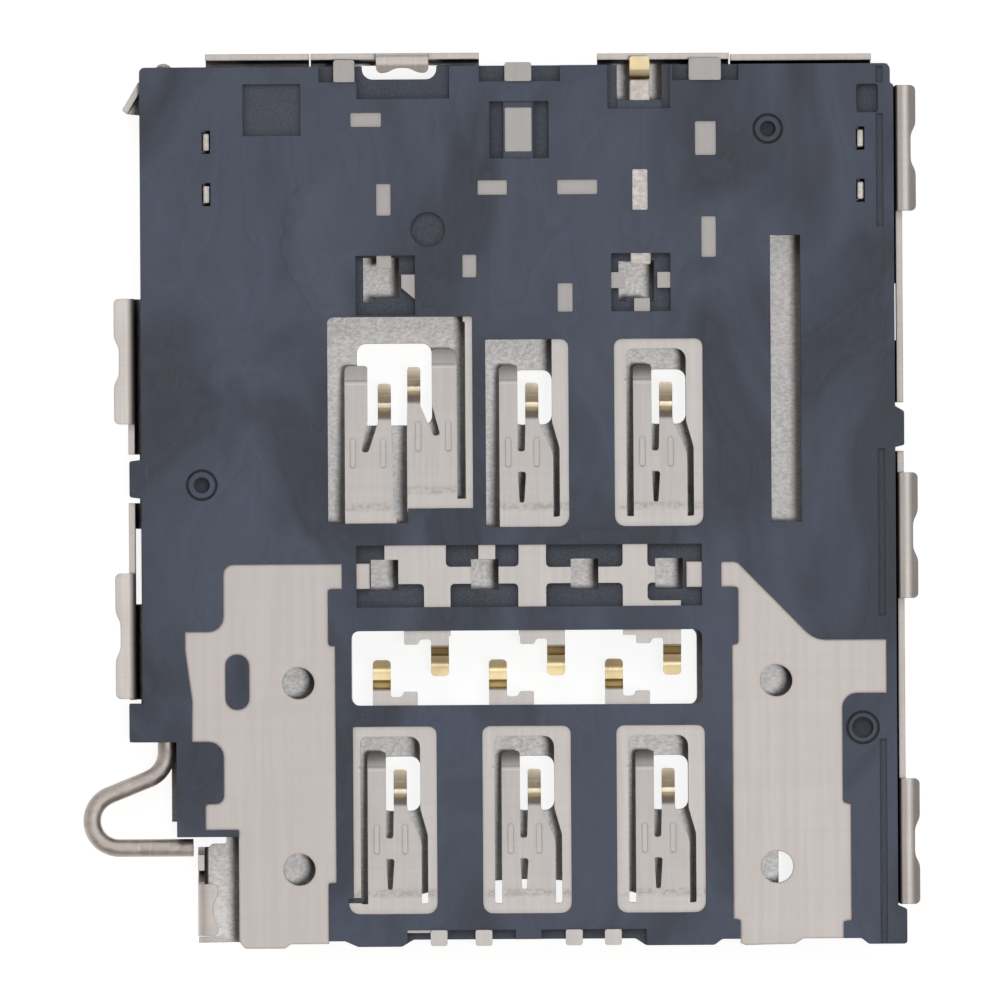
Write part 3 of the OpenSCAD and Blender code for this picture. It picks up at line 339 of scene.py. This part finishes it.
def make_patch_group():
    """Mask of a rectangle in the X and Y of the socket, with soft sides."""
    tree, inside, out = new_group("patch_mask",
        [("X", FLOAT, 0.0), ("Y", FLOAT, 0.0), ("Middle X", FLOAT, 0.0), ("Middle Y", FLOAT, 0.0),
         ("Half X", FLOAT, 1.0), ("Half Y", FLOAT, 1.0), ("Soft", FLOAT, 0.05)],
        [("Mask", FLOAT)])
    within = times(tree, inside["Soft"], -1.0)
    sides = []
    for axis in "XY":
        past = minus(tree, apart(tree, inside[axis], inside["Middle " + axis]), inside["Half " + axis])
        sides.append(span(tree, past, inside["Soft"], within))
    feed(tree, out["Mask"], times(tree, sides[0], sides[1]))
    return tree


PLACE = make_place_group()
EDGE = make_edge_group()
CORNER = make_corner_group()
BRUSH = make_brush_group()
PEBBLE = make_pebble_group()
STAIN = make_stain_group()
SCRATCH = make_scratch_group()
PATCH = make_patch_group()


# Colours of the moulding
MELT_DARK = colour(0.045, 0.053, 0.071)
MELT_PALE = colour(0.126, 0.161, 0.246)
MELT_STAIN = colour(0.095, 0.106, 0.140)
MELT_SPECK = colour(0.22, 0.235, 0.27)
MELT_SCRATCH = colour(0.19, 0.21, 0.255)
# Pale tint painted along the edges as highlight
MELT_EDGE_HIGHLIGHT = colour(0.17, 0.19, 0.235)
# Dark tint painted into the corners as shade
MELT_PAINTED_SHADE = colour(0.024, 0.024, 0.029)
WELD_DARK = colour(0.036, 0.044, 0.064)
WELD_PALE = colour(0.150, 0.176, 0.226)
# Darker, greyer colours painted on the sunk floors as shade
SUNK_SHADE_DARK = colour(0.054, 0.062, 0.080)
SUNK_SHADE_PALE = colour(0.108, 0.126, 0.163)

# Colours of the shell
GRAIN_DARK = colour(0.375, 0.37, 0.37)
GRAIN_PALE = colour(0.50, 0.495, 0.495)
SHELL_DARK = colour(0.62, 0.59, 0.57)
SHELL_PALE = colour(0.69, 0.66, 0.64)
SHELL_STAIN = colour(0.42, 0.385, 0.345)
SHELL_SPOT = colour(0.36, 0.33, 0.30)
# Pale tint painted along the edges as highlight
SHELL_EDGE_HIGHLIGHT = colour(0.76, 0.735, 0.70)
# Dark tint painted into the corners as shade
SHELL_PAINTED_SHADE = colour(0.20, 0.155, 0.13)

# Colours of the base plates
PLATE_DARK = colour(0.585, 0.551, 0.536)
PLATE_PALE = colour(0.597, 0.562, 0.547)
PLATE_STAIN = colour(0.55, 0.515, 0.49)
PLATE_SPOT = colour(0.48, 0.43, 0.39)
PLATE_SCRATCH = colour(0.70, 0.66, 0.63)
# Pale tint painted along the edges as highlight
PLATE_EDGE_HIGHLIGHT = colour(0.86, 0.82, 0.76)
# Dark tint painted into the corners as shade
PLATE_PAINTED_SHADE = colour(0.24, 0.18, 0.14)

# Colours of the contacts
ALLOY_DARK = colour(0.555, 0.535, 0.525)
ALLOY_PALE = colour(0.595, 0.575, 0.565)
ALLOY_STAIN = colour(0.50, 0.47, 0.44)
# Pale tint painted along the edges as highlight
ALLOY_EDGE_HIGHLIGHT = colour(0.80, 0.765, 0.72)
# Dark tint painted into the corners as shade
ALLOY_PAINTED_SHADE = colour(0.22, 0.17, 0.14)
FAR_TRACE_TONE = colour(0.36, 0.355, 0.35)
PULLED_DARK = colour(0.36, 0.33, 0.30)
# Painted shade line and painted highlight line at the second bend of the beam
PRESS_PAINTED_SHADE = colour(0.22, 0.19, 0.17)
PRESS_PAINTED_HIGHLIGHT = colour(0.78, 0.76, 0.74)
TIP_DARK = colour(0.55, 0.48, 0.36)
TIP_PALE = colour(0.66, 0.59, 0.46)
FINGER_DARK = colour(0.60, 0.49, 0.29)
FINGER_PALE = colour(0.80, 0.66, 0.39)

# Colours of the switch spring
GOLD_DARK = colour(0.74, 0.60, 0.36)
GOLD_PALE = colour(0.84, 0.72, 0.48)
# Pale tint painted along the edges as highlight
GOLD_EDGE_HIGHLIGHT = colour(0.86, 0.76, 0.5)

# Colours that the steel pieces share
BAR_STAIN = colour(0.42, 0.37, 0.31)
BAR_SCRATCH = colour(0.8, 0.78, 0.75)
# Pale tint painted along the edges as highlight
BAR_EDGE_HIGHLIGHT = colour(0.8, 0.77, 0.74)

# Steel pieces as (node, finish, dark and pale colour, fineness and height of the grain)
BARS = (
    ("switch_pad", "switch_sheet", colour(0.55, 0.525, 0.505), colour(0.62, 0.595, 0.575), 14.0, 0.08),
    ("push_rod", "rod_bar", colour(0.46, 0.42, 0.39), colour(0.62, 0.58, 0.55), 6.0, 0.36),
    ("eject_lever", "lever_sheet", colour(0.54, 0.52, 0.5), colour(0.66, 0.64, 0.61), 12.0, 0.3),
    ("lever_pivot", "pivot_rivet", colour(0.5, 0.48, 0.46), colour(0.64, 0.62, 0.6), 10.0, 0.3),
    ("stop_pins", "stop_pin_steel", colour(0.56, 0.54, 0.52), colour(0.7, 0.68, 0.66), 15.0, 0.3),
)

# Colours of the floor, the room and the backdrop
PAPER_DARK = colour(0.36, 0.36, 0.36)
PAPER_PALE = colour(0.39, 0.39, 0.39)
ROOM_WARM = colour(1.0, 0.88, 0.81)
BOX_WHITE = colour(1.0, 0.99, 0.98)
WHITE = colour(1.0, 1.0, 1.0)


# Finishes

def new_material(name):
    material = bpy.data.materials.new(name)
    material.use_nodes = True
    tree = material.node_tree
    shader = next(n for n in tree.nodes if n.type == "BSDF_PRINCIPLED")
    return material, tree, shader


def bump(tree, height, strength, depth_mm, normal):
    node = put(tree, "ShaderNodeBump")
    node.inputs["Strength"].default_value = strength
    node.inputs["Distance"].default_value = depth_mm * MM
    feed(tree, node.inputs["Height"], height)
    feed(tree, node.inputs["Normal"], normal)
    return node.outputs["Normal"]


def set_shader(tree, shader, body, roughness, normal, metallic=1.0):
    feed(tree, shader.inputs["Base Color"], body)
    feed(tree, shader.inputs["Roughness"], roughness)
    feed(tree, shader.inputs["Normal"], normal)
    shader.inputs["Metallic"].default_value = metallic


def make_moulding():
    """Matt dark blue-grey moulding, cloudy where the melt flowed."""
    material, tree, shader = new_material("dark_moulding")
    place = use(tree, PLACE)
    edge = use(tree, EDGE, Radius=0.018)
    corner = use(tree, CORNER, Reach=0.14)
    stain = use(tree, STAIN, Place=place["Place"], Size=2.2)
    scratch = use(tree, SCRATCH, Place=place["Place"], Sparse=0.55)

    # Clouds of flow with a sharper front on one side, drawn out along the way the melt ran
    flow = mapped(tree, place["Place"], 0.0, 0.6, (1.0, 0.55, 1.0))
    clouds = noise(tree, flow, 0.42, 3.0, 0.5, 0.9)
    fronts = math_node(tree, "FRACT", times(tree, clouds, 5.0))
    streaks = noise(tree, flow, 2.4, 3.0, 0.6, 0.8)
    small = plus(tree, times(tree, fronts, 0.12), span(tree, streaks, 0.3, 0.7, 0.0, 0.16))
    tone = plus(tree, span(tree, clouds, 0.32, 0.68, 0.0, 0.55), small)
    body = blend_colours(tree, tone, MELT_DARK, MELT_PALE)
    body = lay(tree, body, stain["Tone"], 0.15, MELT_STAIN)

    # Weld line where two fronts of melt met, and a paler strip beside it
    bow = math_node(tree, "POWER", minus(tree, place["Y"], WELD_TURN_Y), 2.0)
    line_x = plus(tree, times(tree, bow, WELD_BOW), WELD_X)
    wave = times(tree, minus(tree, streaks, 0.5), WELD_WAVE)
    off = minus(tree, plus(tree, place["X"], wave), line_x)
    near = span(tree, math_node(tree, "ABSOLUTE", off), *WELD_WIDTH)
    reach = span(tree, apart(tree, place["Y"], WELD_MIDDLE_Y), *WELD_LENGTH)
    body = lay(tree, body, times(tree, near, reach), 0.3, WELD_DARK)
    lee = times(tree, span(tree, off, *WELD_LEE_RISE), span(tree, off, *WELD_LEE_FALL))
    body = lay(tree, body, times(tree, lee, reach), 0.25, WELD_PALE)

    # Floors of the sunk marks get a darker, greyer grained colour, painted shade in the recesses
    grain = noise(tree, place["Place"], 24.0, 3.0, 0.6)
    sunk_shade = blend_colours(tree, span(tree, grain, 0.3, 0.7), SUNK_SHADE_DARK, SUNK_SHADE_PALE)
    body = lay(tree, body, span(tree, place["Z"], *SUNK_FLOOR_Z), 0.6, sunk_shade)

    specks = span(tree, noise(tree, place["Place"], 14.0, 2.0), 0.71, 0.76)
    body = lay(tree, body, specks, 0.25, MELT_SPECK)
    body = lay(tree, body, scratch["Scratch"], 0.2, MELT_SCRATCH)
    # Painted highlight along the edges
    body = lay(tree, body, edge["Edge"], 0.35, MELT_EDGE_HIGHLIGHT)
    # Painted shade in the corners
    body = lay_painted_shade(tree, body, corner, 0.15, 0.75, 0.7, MELT_PAINTED_SHADE)
    roughness = span(tree, streaks, 0.25, 0.75, 0.5, 0.62)
    height = plus(tree, grain, times(tree, scratch["Scratch"], -0.6))
    set_shader(tree, shader, body, roughness, bump(tree, height, 0.3, 0.005, edge["Normal"]), metallic=0.0)
    shader.inputs["Specular IOR Level"].default_value = 0.4
    return material


def make_shell():
    """Stainless sheet, grained on the side that faces the moulding."""
    material, tree, shader = new_material("shell_sheet")
    place = use(tree, PLACE)
    edge = use(tree, EDGE, Radius=0.03)
    corner = use(tree, CORNER, Reach=0.2)
    pebble = use(tree, PEBBLE, Place=place["Place"], Fine=21.0)
    stain = use(tree, STAIN, Place=place["Place"], Size=1.1)
    brush = use(tree, BRUSH, Place=place["Place"], Fine=14.0)
    inner = times(tree, span(tree, place["Z"], *SHELL_FLOOR_Z), span(tree, place["Z"], *SHELL_WALL_Z))
    grained = blend_colours(tree, pebble["Grain"], GRAIN_DARK, GRAIN_PALE)
    rolled = blend_colours(tree, brush["Lines"], SHELL_DARK, SHELL_PALE)
    body = blend_colours(tree, inner, rolled, grained)
    body = lay(tree, body, stain["Tone"], 0.14, SHELL_STAIN)
    body = lay(tree, body, stain["Spots"], 0.3, SHELL_SPOT)
    # Painted highlight along the edges
    body = lay(tree, body, edge["Edge"], 0.35, SHELL_EDGE_HIGHLIGHT)
    # Painted shade in the corners
    body = lay_painted_shade(tree, body, corner, 0.3, 1.0, 0.45, SHELL_PAINTED_SHADE)
    roughness = span(tree, inner, 0.0, 1.0, 0.48, 0.38)
    height = plus(tree, times(tree, pebble["Height"], inner), times(tree, brush["Height"], 0.15))
    set_shader(tree, shader, body, roughness, bump(tree, height, 0.8, 0.0035, edge["Normal"]))
    return material


def make_plate():
    """Satin plate with rolling lines along the way the tray slides."""
    material, tree, shader = new_material("plate_sheet")
    place = use(tree, PLACE)
    edge = use(tree, EDGE, Radius=0.05)
    corner = use(tree, CORNER, Reach=0.08)
    brush = use(tree, BRUSH, Place=place["Place"], Fine=9.0)
    stain = use(tree, STAIN, Place=place["Place"], Size=1.6)
    scratch = use(tree, SCRATCH, Place=place["Place"], Sparse=0.55)
    body = blend_colours(tree, brush["Lines"], PLATE_DARK, PLATE_PALE)
    body = lay(tree, body, stain["Tone"], 0.18, PLATE_STAIN)
    body = lay(tree, body, stain["Spots"], 0.25, PLATE_SPOT)
    body = lay(tree, body, scratch["Scratch"], 0.2, PLATE_SCRATCH)
    # Painted highlight along the edges
    body = lay(tree, body, edge["Edge"], 0.7, PLATE_EDGE_HIGHLIGHT)
    # Painted shade in the corners
    body = lay_painted_shade(tree, body, corner, 0.15, 0.8, 0.6, PLATE_PAINTED_SHADE)
    roughness = span(tree, brush["Lines"], 0.0, 1.0, 0.475, 0.46)
    set_shader(tree, shader, body, roughness, bump(tree, brush["Height"], 0.1, 0.0025, edge["Normal"]))
    return material


def patch(tree, place, middle_x, middle_y, half_x, half_y, soft):
    return use(tree, PATCH, X=place["X"], Y=place["Y"], Middle_X=middle_x, Middle_Y=middle_y,
        Half_X=half_x, Half_Y=half_y, Soft=soft)["Mask"]


def make_contact(name, root, column, finger=None, finger_y=0.0, side=-1):
    """Spring alloy with a gold tip and, where there is one, a gold finger."""
    material, tree, shader = new_material(name)
    place = use(tree, PLACE)
    edge = use(tree, EDGE, Radius=0.012)
    corner = use(tree, CORNER, Reach=0.1)
    brush = use(tree, BRUSH, Place=place["Place"], Fine=11.0)
    stain = use(tree, STAIN, Place=place["Place"], Size=0.9)
    pebble = use(tree, PEBBLE, Place=place["Place"], Fine=16.0)
    body = blend_colours(tree, brush["Lines"], ALLOY_DARK, ALLOY_PALE)
    body = lay(tree, body, stain["Tone"], 0.16, ALLOY_STAIN)

    # The far traces are darker and greyer from Y 3.3 mm on
    body = lay(tree, body, span(tree, place["Y"], *FAR_TRACE_TONE_Y), 0.72, FAR_TRACE_TONE)

    # Surface pulled by the bend at the foot of the beam
    crease = patch(tree, place, column, root + CREASE_UP, 0.9, 0.07, 0.05)
    pulled = times(tree, crease, span(tree, pebble["Grain"], 0.0, 1.0, 0.55, 0.0))
    body = blend_colours(tree, pulled, body, PULLED_DARK)

    # Painted shade line where the wide side of the beam is bent once more, with a painted highlight line
    # just below it
    press_x = column + PRESS_ASIDE * side
    body = lay(tree, body, patch(tree, place, press_x, root + PRESS_UP, 0.27, 0.014, 0.02), 0.6, PRESS_PAINTED_SHADE)
    body = lay(tree, body, patch(tree, place, press_x, root + PAINTED_HIGHLIGHT_UP, 0.27, 0.012, 0.02), 0.5, PRESS_PAINTED_HIGHLIGHT)

    gold = patch(tree, place, column, root + TIP_UP, 0.15, 0.34, 0.06)
    body = blend_colours(tree, gold, body, blend_colours(tree, stain["Tone"], TIP_DARK, TIP_PALE))
    if finger is not None:
        tip = patch(tree, place, finger, finger_y, 0.2, 0.31, 0.03)
        body = blend_colours(tree, tip, body, blend_colours(tree, stain["Tone"], FINGER_DARK, FINGER_PALE))
        gold = math_node(tree, "MAXIMUM", gold, tip)
    # Painted highlight along the edges
    body = lay(tree, body, edge["Edge"], 0.45, ALLOY_EDGE_HIGHLIGHT)
    # Painted shade in the corners
    body = lay_painted_shade(tree, body, corner, 0.15, 0.85, 0.55, ALLOY_PAINTED_SHADE)
    roughness = span(tree, gold, 0.0, 1.0, 0.45, 0.34)
    height = plus(tree, brush["Height"], times(tree, pulled, 1.5))
    set_shader(tree, shader, body, roughness, bump(tree, height, 0.4, 0.006, edge["Normal"]))
    return material


def make_gold():
    """Bright gold plating of the switch spring."""
    material, tree, shader = new_material("gold_spring")
    place = use(tree, PLACE)
    edge = use(tree, EDGE, Radius=0.02)
    stain = use(tree, STAIN, Place=place["Place"], Size=0.3)
    brush = use(tree, BRUSH, Place=place["Place"], Fine=24.0)
    body = blend_colours(tree, stain["Tone"], GOLD_DARK, GOLD_PALE)
    # Painted highlight along the edges
    body = lay(tree, body, edge["Edge"], 0.5, GOLD_EDGE_HIGHLIGHT)
    roughness = span(tree, stain["Tone"], 0.0, 1.0, 0.4, 0.48)
    set_shader(tree, shader, body, roughness, bump(tree, brush["Height"], 0.4, 0.005, edge["Normal"]))
    return material


def make_bar(name, dark, pale, fine, grain):
    """Drawn or stamped steel, tumbled until its edges are soft."""
    material, tree, shader = new_material(name)
    place = use(tree, PLACE)
    edge = use(tree, EDGE, Radius=0.05)
    pebble = use(tree, PEBBLE, Place=place["Place"], Fine=fine)
    stain = use(tree, STAIN, Place=place["Place"], Size=0.5)
    scratch = use(tree, SCRATCH, Place=place["Place"], Sparse=0.45)
    body = blend_colours(tree, pebble["Grain"], dark, pale)
    body = lay(tree, body, stain["Tone"], 0.3, BAR_STAIN)
    body = lay(tree, body, scratch["Scratch"], 0.4, BAR_SCRATCH)
    # Painted highlight along the edges
    body = lay(tree, body, edge["Edge"], 0.35, BAR_EDGE_HIGHLIGHT)
    roughness = span(tree, pebble["Grain"], 0.0, 1.0, 0.4, 0.5)
    set_shader(tree, shader, body, roughness, bump(tree, pebble["Height"], grain, 0.03, edge["Normal"]))
    return material


def dress(node, material):
    mesh = nodes[node].data
    mesh.materials.clear()
    mesh.materials.append(material)


dress("housing", make_moulding())
dress("cover_shell", make_shell())
plate = make_plate()
for name in ("left_base_plate", "right_base_plate"):
    dress(name, plate)
for i, side in enumerate(SIDES):
    column = PAIR_LEFT if i == 0 else COLUMNS[i]
    dress(f"contact_back_{side}", make_contact(
        f"spring_back_{side}", BACK_ROOT, column, BACK_FINGERS[i], BAY_BACK - FINGER_REACH))
    dress(f"contact_front_{side}", make_contact(
        f"spring_front_{side}", FRONT_ROOT, COLUMNS[i], FRONT_FINGERS[i], BAY_FRONT + FINGER_REACH))
dress("contact_card_detect", make_contact("spring_card_detect", PAIR_RIGHT_ROOT, PAIR_RIGHT, side=1))
dress("switch_spring", make_gold())
for node, name, dark, pale, fine, grain in BARS:
    dress(node, make_bar(name, dark, pale, fine, grain))


# Smooth shading of the curved faces

def make_smoothing():
    """Joins the faces of a part and shades it smooth, apart from its sharp edges."""
    tree = bpy.data.node_groups.new("soft_curves", "GeometryNodeTree")
    tree.interface.new_socket(name="Geometry", in_out="INPUT", socket_type="NodeSocketGeometry")
    tree.interface.new_socket(name="Geometry", in_out="OUTPUT", socket_type="NodeSocketGeometry")
    start = tree.nodes.new("NodeGroupInput")
    end = tree.nodes.new("NodeGroupOutput")
    join = tree.nodes.new("GeometryNodeMergeByDistance")
    join.inputs["Distance"].default_value = JOIN_DISTANCE
    faces = tree.nodes.new("GeometryNodeSetShadeSmooth")
    edges = tree.nodes.new("GeometryNodeSetShadeSmooth")
    edges.domain = "EDGE"
    edges.inputs["Shade Smooth"].default_value = False
    angle = tree.nodes.new("GeometryNodeInputMeshEdgeAngle")
    sharp = tree.nodes.new("FunctionNodeCompare")
    sharp.data_type = "FLOAT"
    sharp.operation = "GREATER_THAN"
    sharp.inputs[1].default_value = math.radians(SMOOTH_DEGREES)
    tree.links.new(angle.outputs["Unsigned Angle"], sharp.inputs[0])
    tree.links.new(sharp.outputs[0], edges.inputs["Selection"])
    tree.links.new(start.outputs[0], join.inputs["Geometry"])
    tree.links.new(join.outputs[0], faces.inputs["Geometry"])
    tree.links.new(faces.outputs[0], edges.inputs["Geometry"])
    tree.links.new(edges.outputs[0], end.inputs[0])
    return tree


smoothing = make_smoothing()
for part in nodes.values():
    part.modifiers.new("soft_curves", "NODES").node_group = smoothing


# Floor, light and camera

def make_floor():
    """Paper that glows in the camera and in the metal, there more on the left than on the right."""
    mesh = bpy.data.meshes.new("floor")
    signs = ((-1, -1), (1, -1), (1, 1), (-1, 1))
    mesh.from_pydata([(x * FLOOR_HALF, y * FLOOR_HALF, 0) for x, y in signs], [], [(0, 1, 2, 3)])
    floor = bpy.data.objects.new("floor", mesh)
    floor.location.z = cad_low.z - FLOOR_DROP
    bpy.context.scene.collection.objects.link(floor)
    material, tree, shader = new_material("pale_floor")
    place = use(tree, PLACE)
    paper = noise(tree, place["Place"], 3.0, 2.0)
    feed(tree, shader.inputs["Base Color"], blend_colours(tree, paper, PAPER_DARK, PAPER_PALE))
    shader.inputs["Roughness"].default_value = 0.9
    shader.inputs["Specular IOR Level"].default_value = 0.0
    shader.inputs["Emission Color"].default_value = WHITE
    seen = put(tree, "ShaderNodeLightPath").outputs
    in_metal = times(tree, seen["Is Glossy Ray"], span(tree, place["X"], -6.0, 7.5, 0.8, 0.2))
    in_camera = span(tree, seen["Is Camera Ray"], 0.0, 1.0, 0.08, 0.86)
    feed(tree, shader.inputs["Emission Strength"], math_node(tree, "MAXIMUM", in_metal, in_camera))
    mesh.materials.append(material)


def make_world():
    """Dim warm room, paler on the left, with softboxes on four sides and a pale backdrop."""
    world = bpy.data.worlds.new("studio")
    bpy.context.scene.world = world
    world.use_nodes = True
    tree = world.node_tree
    dome = next(n for n in tree.nodes if n.type == "BACKGROUND")
    where = put(tree, "ShaderNodeTexCoord").outputs["Generated"]
    glow = 0.0
    for way, inner, outer, strength in SOFTBOXES:
        facing = vector_node(tree, "DOT_PRODUCT", where, tuple(Vector(way).normalized()))
        start, full = (math.cos(math.radians(degrees)) for degrees in (outer, inner))
        glow = plus(tree, glow, span(tree, facing, start, full, 0.0, strength))
    parts = put(tree, "ShaderNodeSeparateXYZ")
    tree.links.new(where, parts.inputs[0])
    wall = span(tree, parts.outputs["X"], -0.4, 0.45, 0.65, 0.16)
    low_down = span(tree, parts.outputs["Z"], 0.15, 0.88, 1.0, 0.0)
    room = plus(tree, times(tree, wall, low_down), ROOM_GLOW)
    tint = blend_colours(tree, math_node(tree, "MINIMUM", glow, 1.0), ROOM_WARM, BOX_WHITE)
    feed(tree, dome.inputs["Color"], tint)
    feed(tree, dome.inputs["Strength"], plus(tree, glow, room))
    pale = put(tree, "ShaderNodeBackground")
    pale.inputs["Color"].default_value = WHITE
    pale.inputs["Strength"].default_value = BACKDROP_GLOW
    seen = put(tree, "ShaderNodeLightPath")
    either = put(tree, "ShaderNodeMixShader")
    result = next(n for n in tree.nodes if n.type == "OUTPUT_WORLD")
    tree.links.new(seen.outputs["Is Camera Ray"], either.inputs[0])
    tree.links.new(dome.outputs[0], either.inputs[1])
    tree.links.new(pale.outputs[0], either.inputs[2])
    tree.links.new(either.outputs[0], result.inputs["Surface"])


def make_key_light():
    """The one lamp, an ellipse high above the front right, turned towards the middle of the part."""
    data = bpy.data.lights.new("key", "AREA")
    data.shape = "ELLIPSE"
    data.size = KEY_ACROSS
    data.size_y = KEY_OUTWARD
    data.energy = KEY_POWER
    data.color = KEY_TINT
    light = bpy.data.objects.new("key", data)
    light.location = KEY_PLACE
    light.rotation_mode = "QUATERNION"
    light.rotation_quaternion = (-Vector(KEY_PLACE)).to_track_quat("-Z", "Y")
    bpy.context.scene.collection.objects.link(light)


def make_camera():
    """Long lens straight above the solder side, framed as the photograph is."""
    width = IMAGE_PIXELS / PIXELS_PER_MM * MM
    data = bpy.data.cameras.new("camera")
    data.sensor_width = SENSOR_MM
    data.lens = LENS_MM
    far = width * LENS_MM / SENSOR_MM
    camera = bpy.data.objects.new("camera", data)
    x, y = ((IMAGE_PIXELS / 2 - pixel) / PIXELS_PER_MM * MM for pixel in MIDDLE_PIXEL)
    camera.location = (x, -y, cad_high.z + far)
    camera.rotation_euler = (0.0, 0.0, -VIEW_ROLL)
    data.clip_start = far * 0.1
    data.clip_end = far * 4
    bpy.context.scene.collection.objects.link(camera)
    bpy.context.scene.camera = camera


make_floor()
make_world()
make_key_light()
make_camera()
bpy.context.scene.view_settings.view_transform = "Standard"
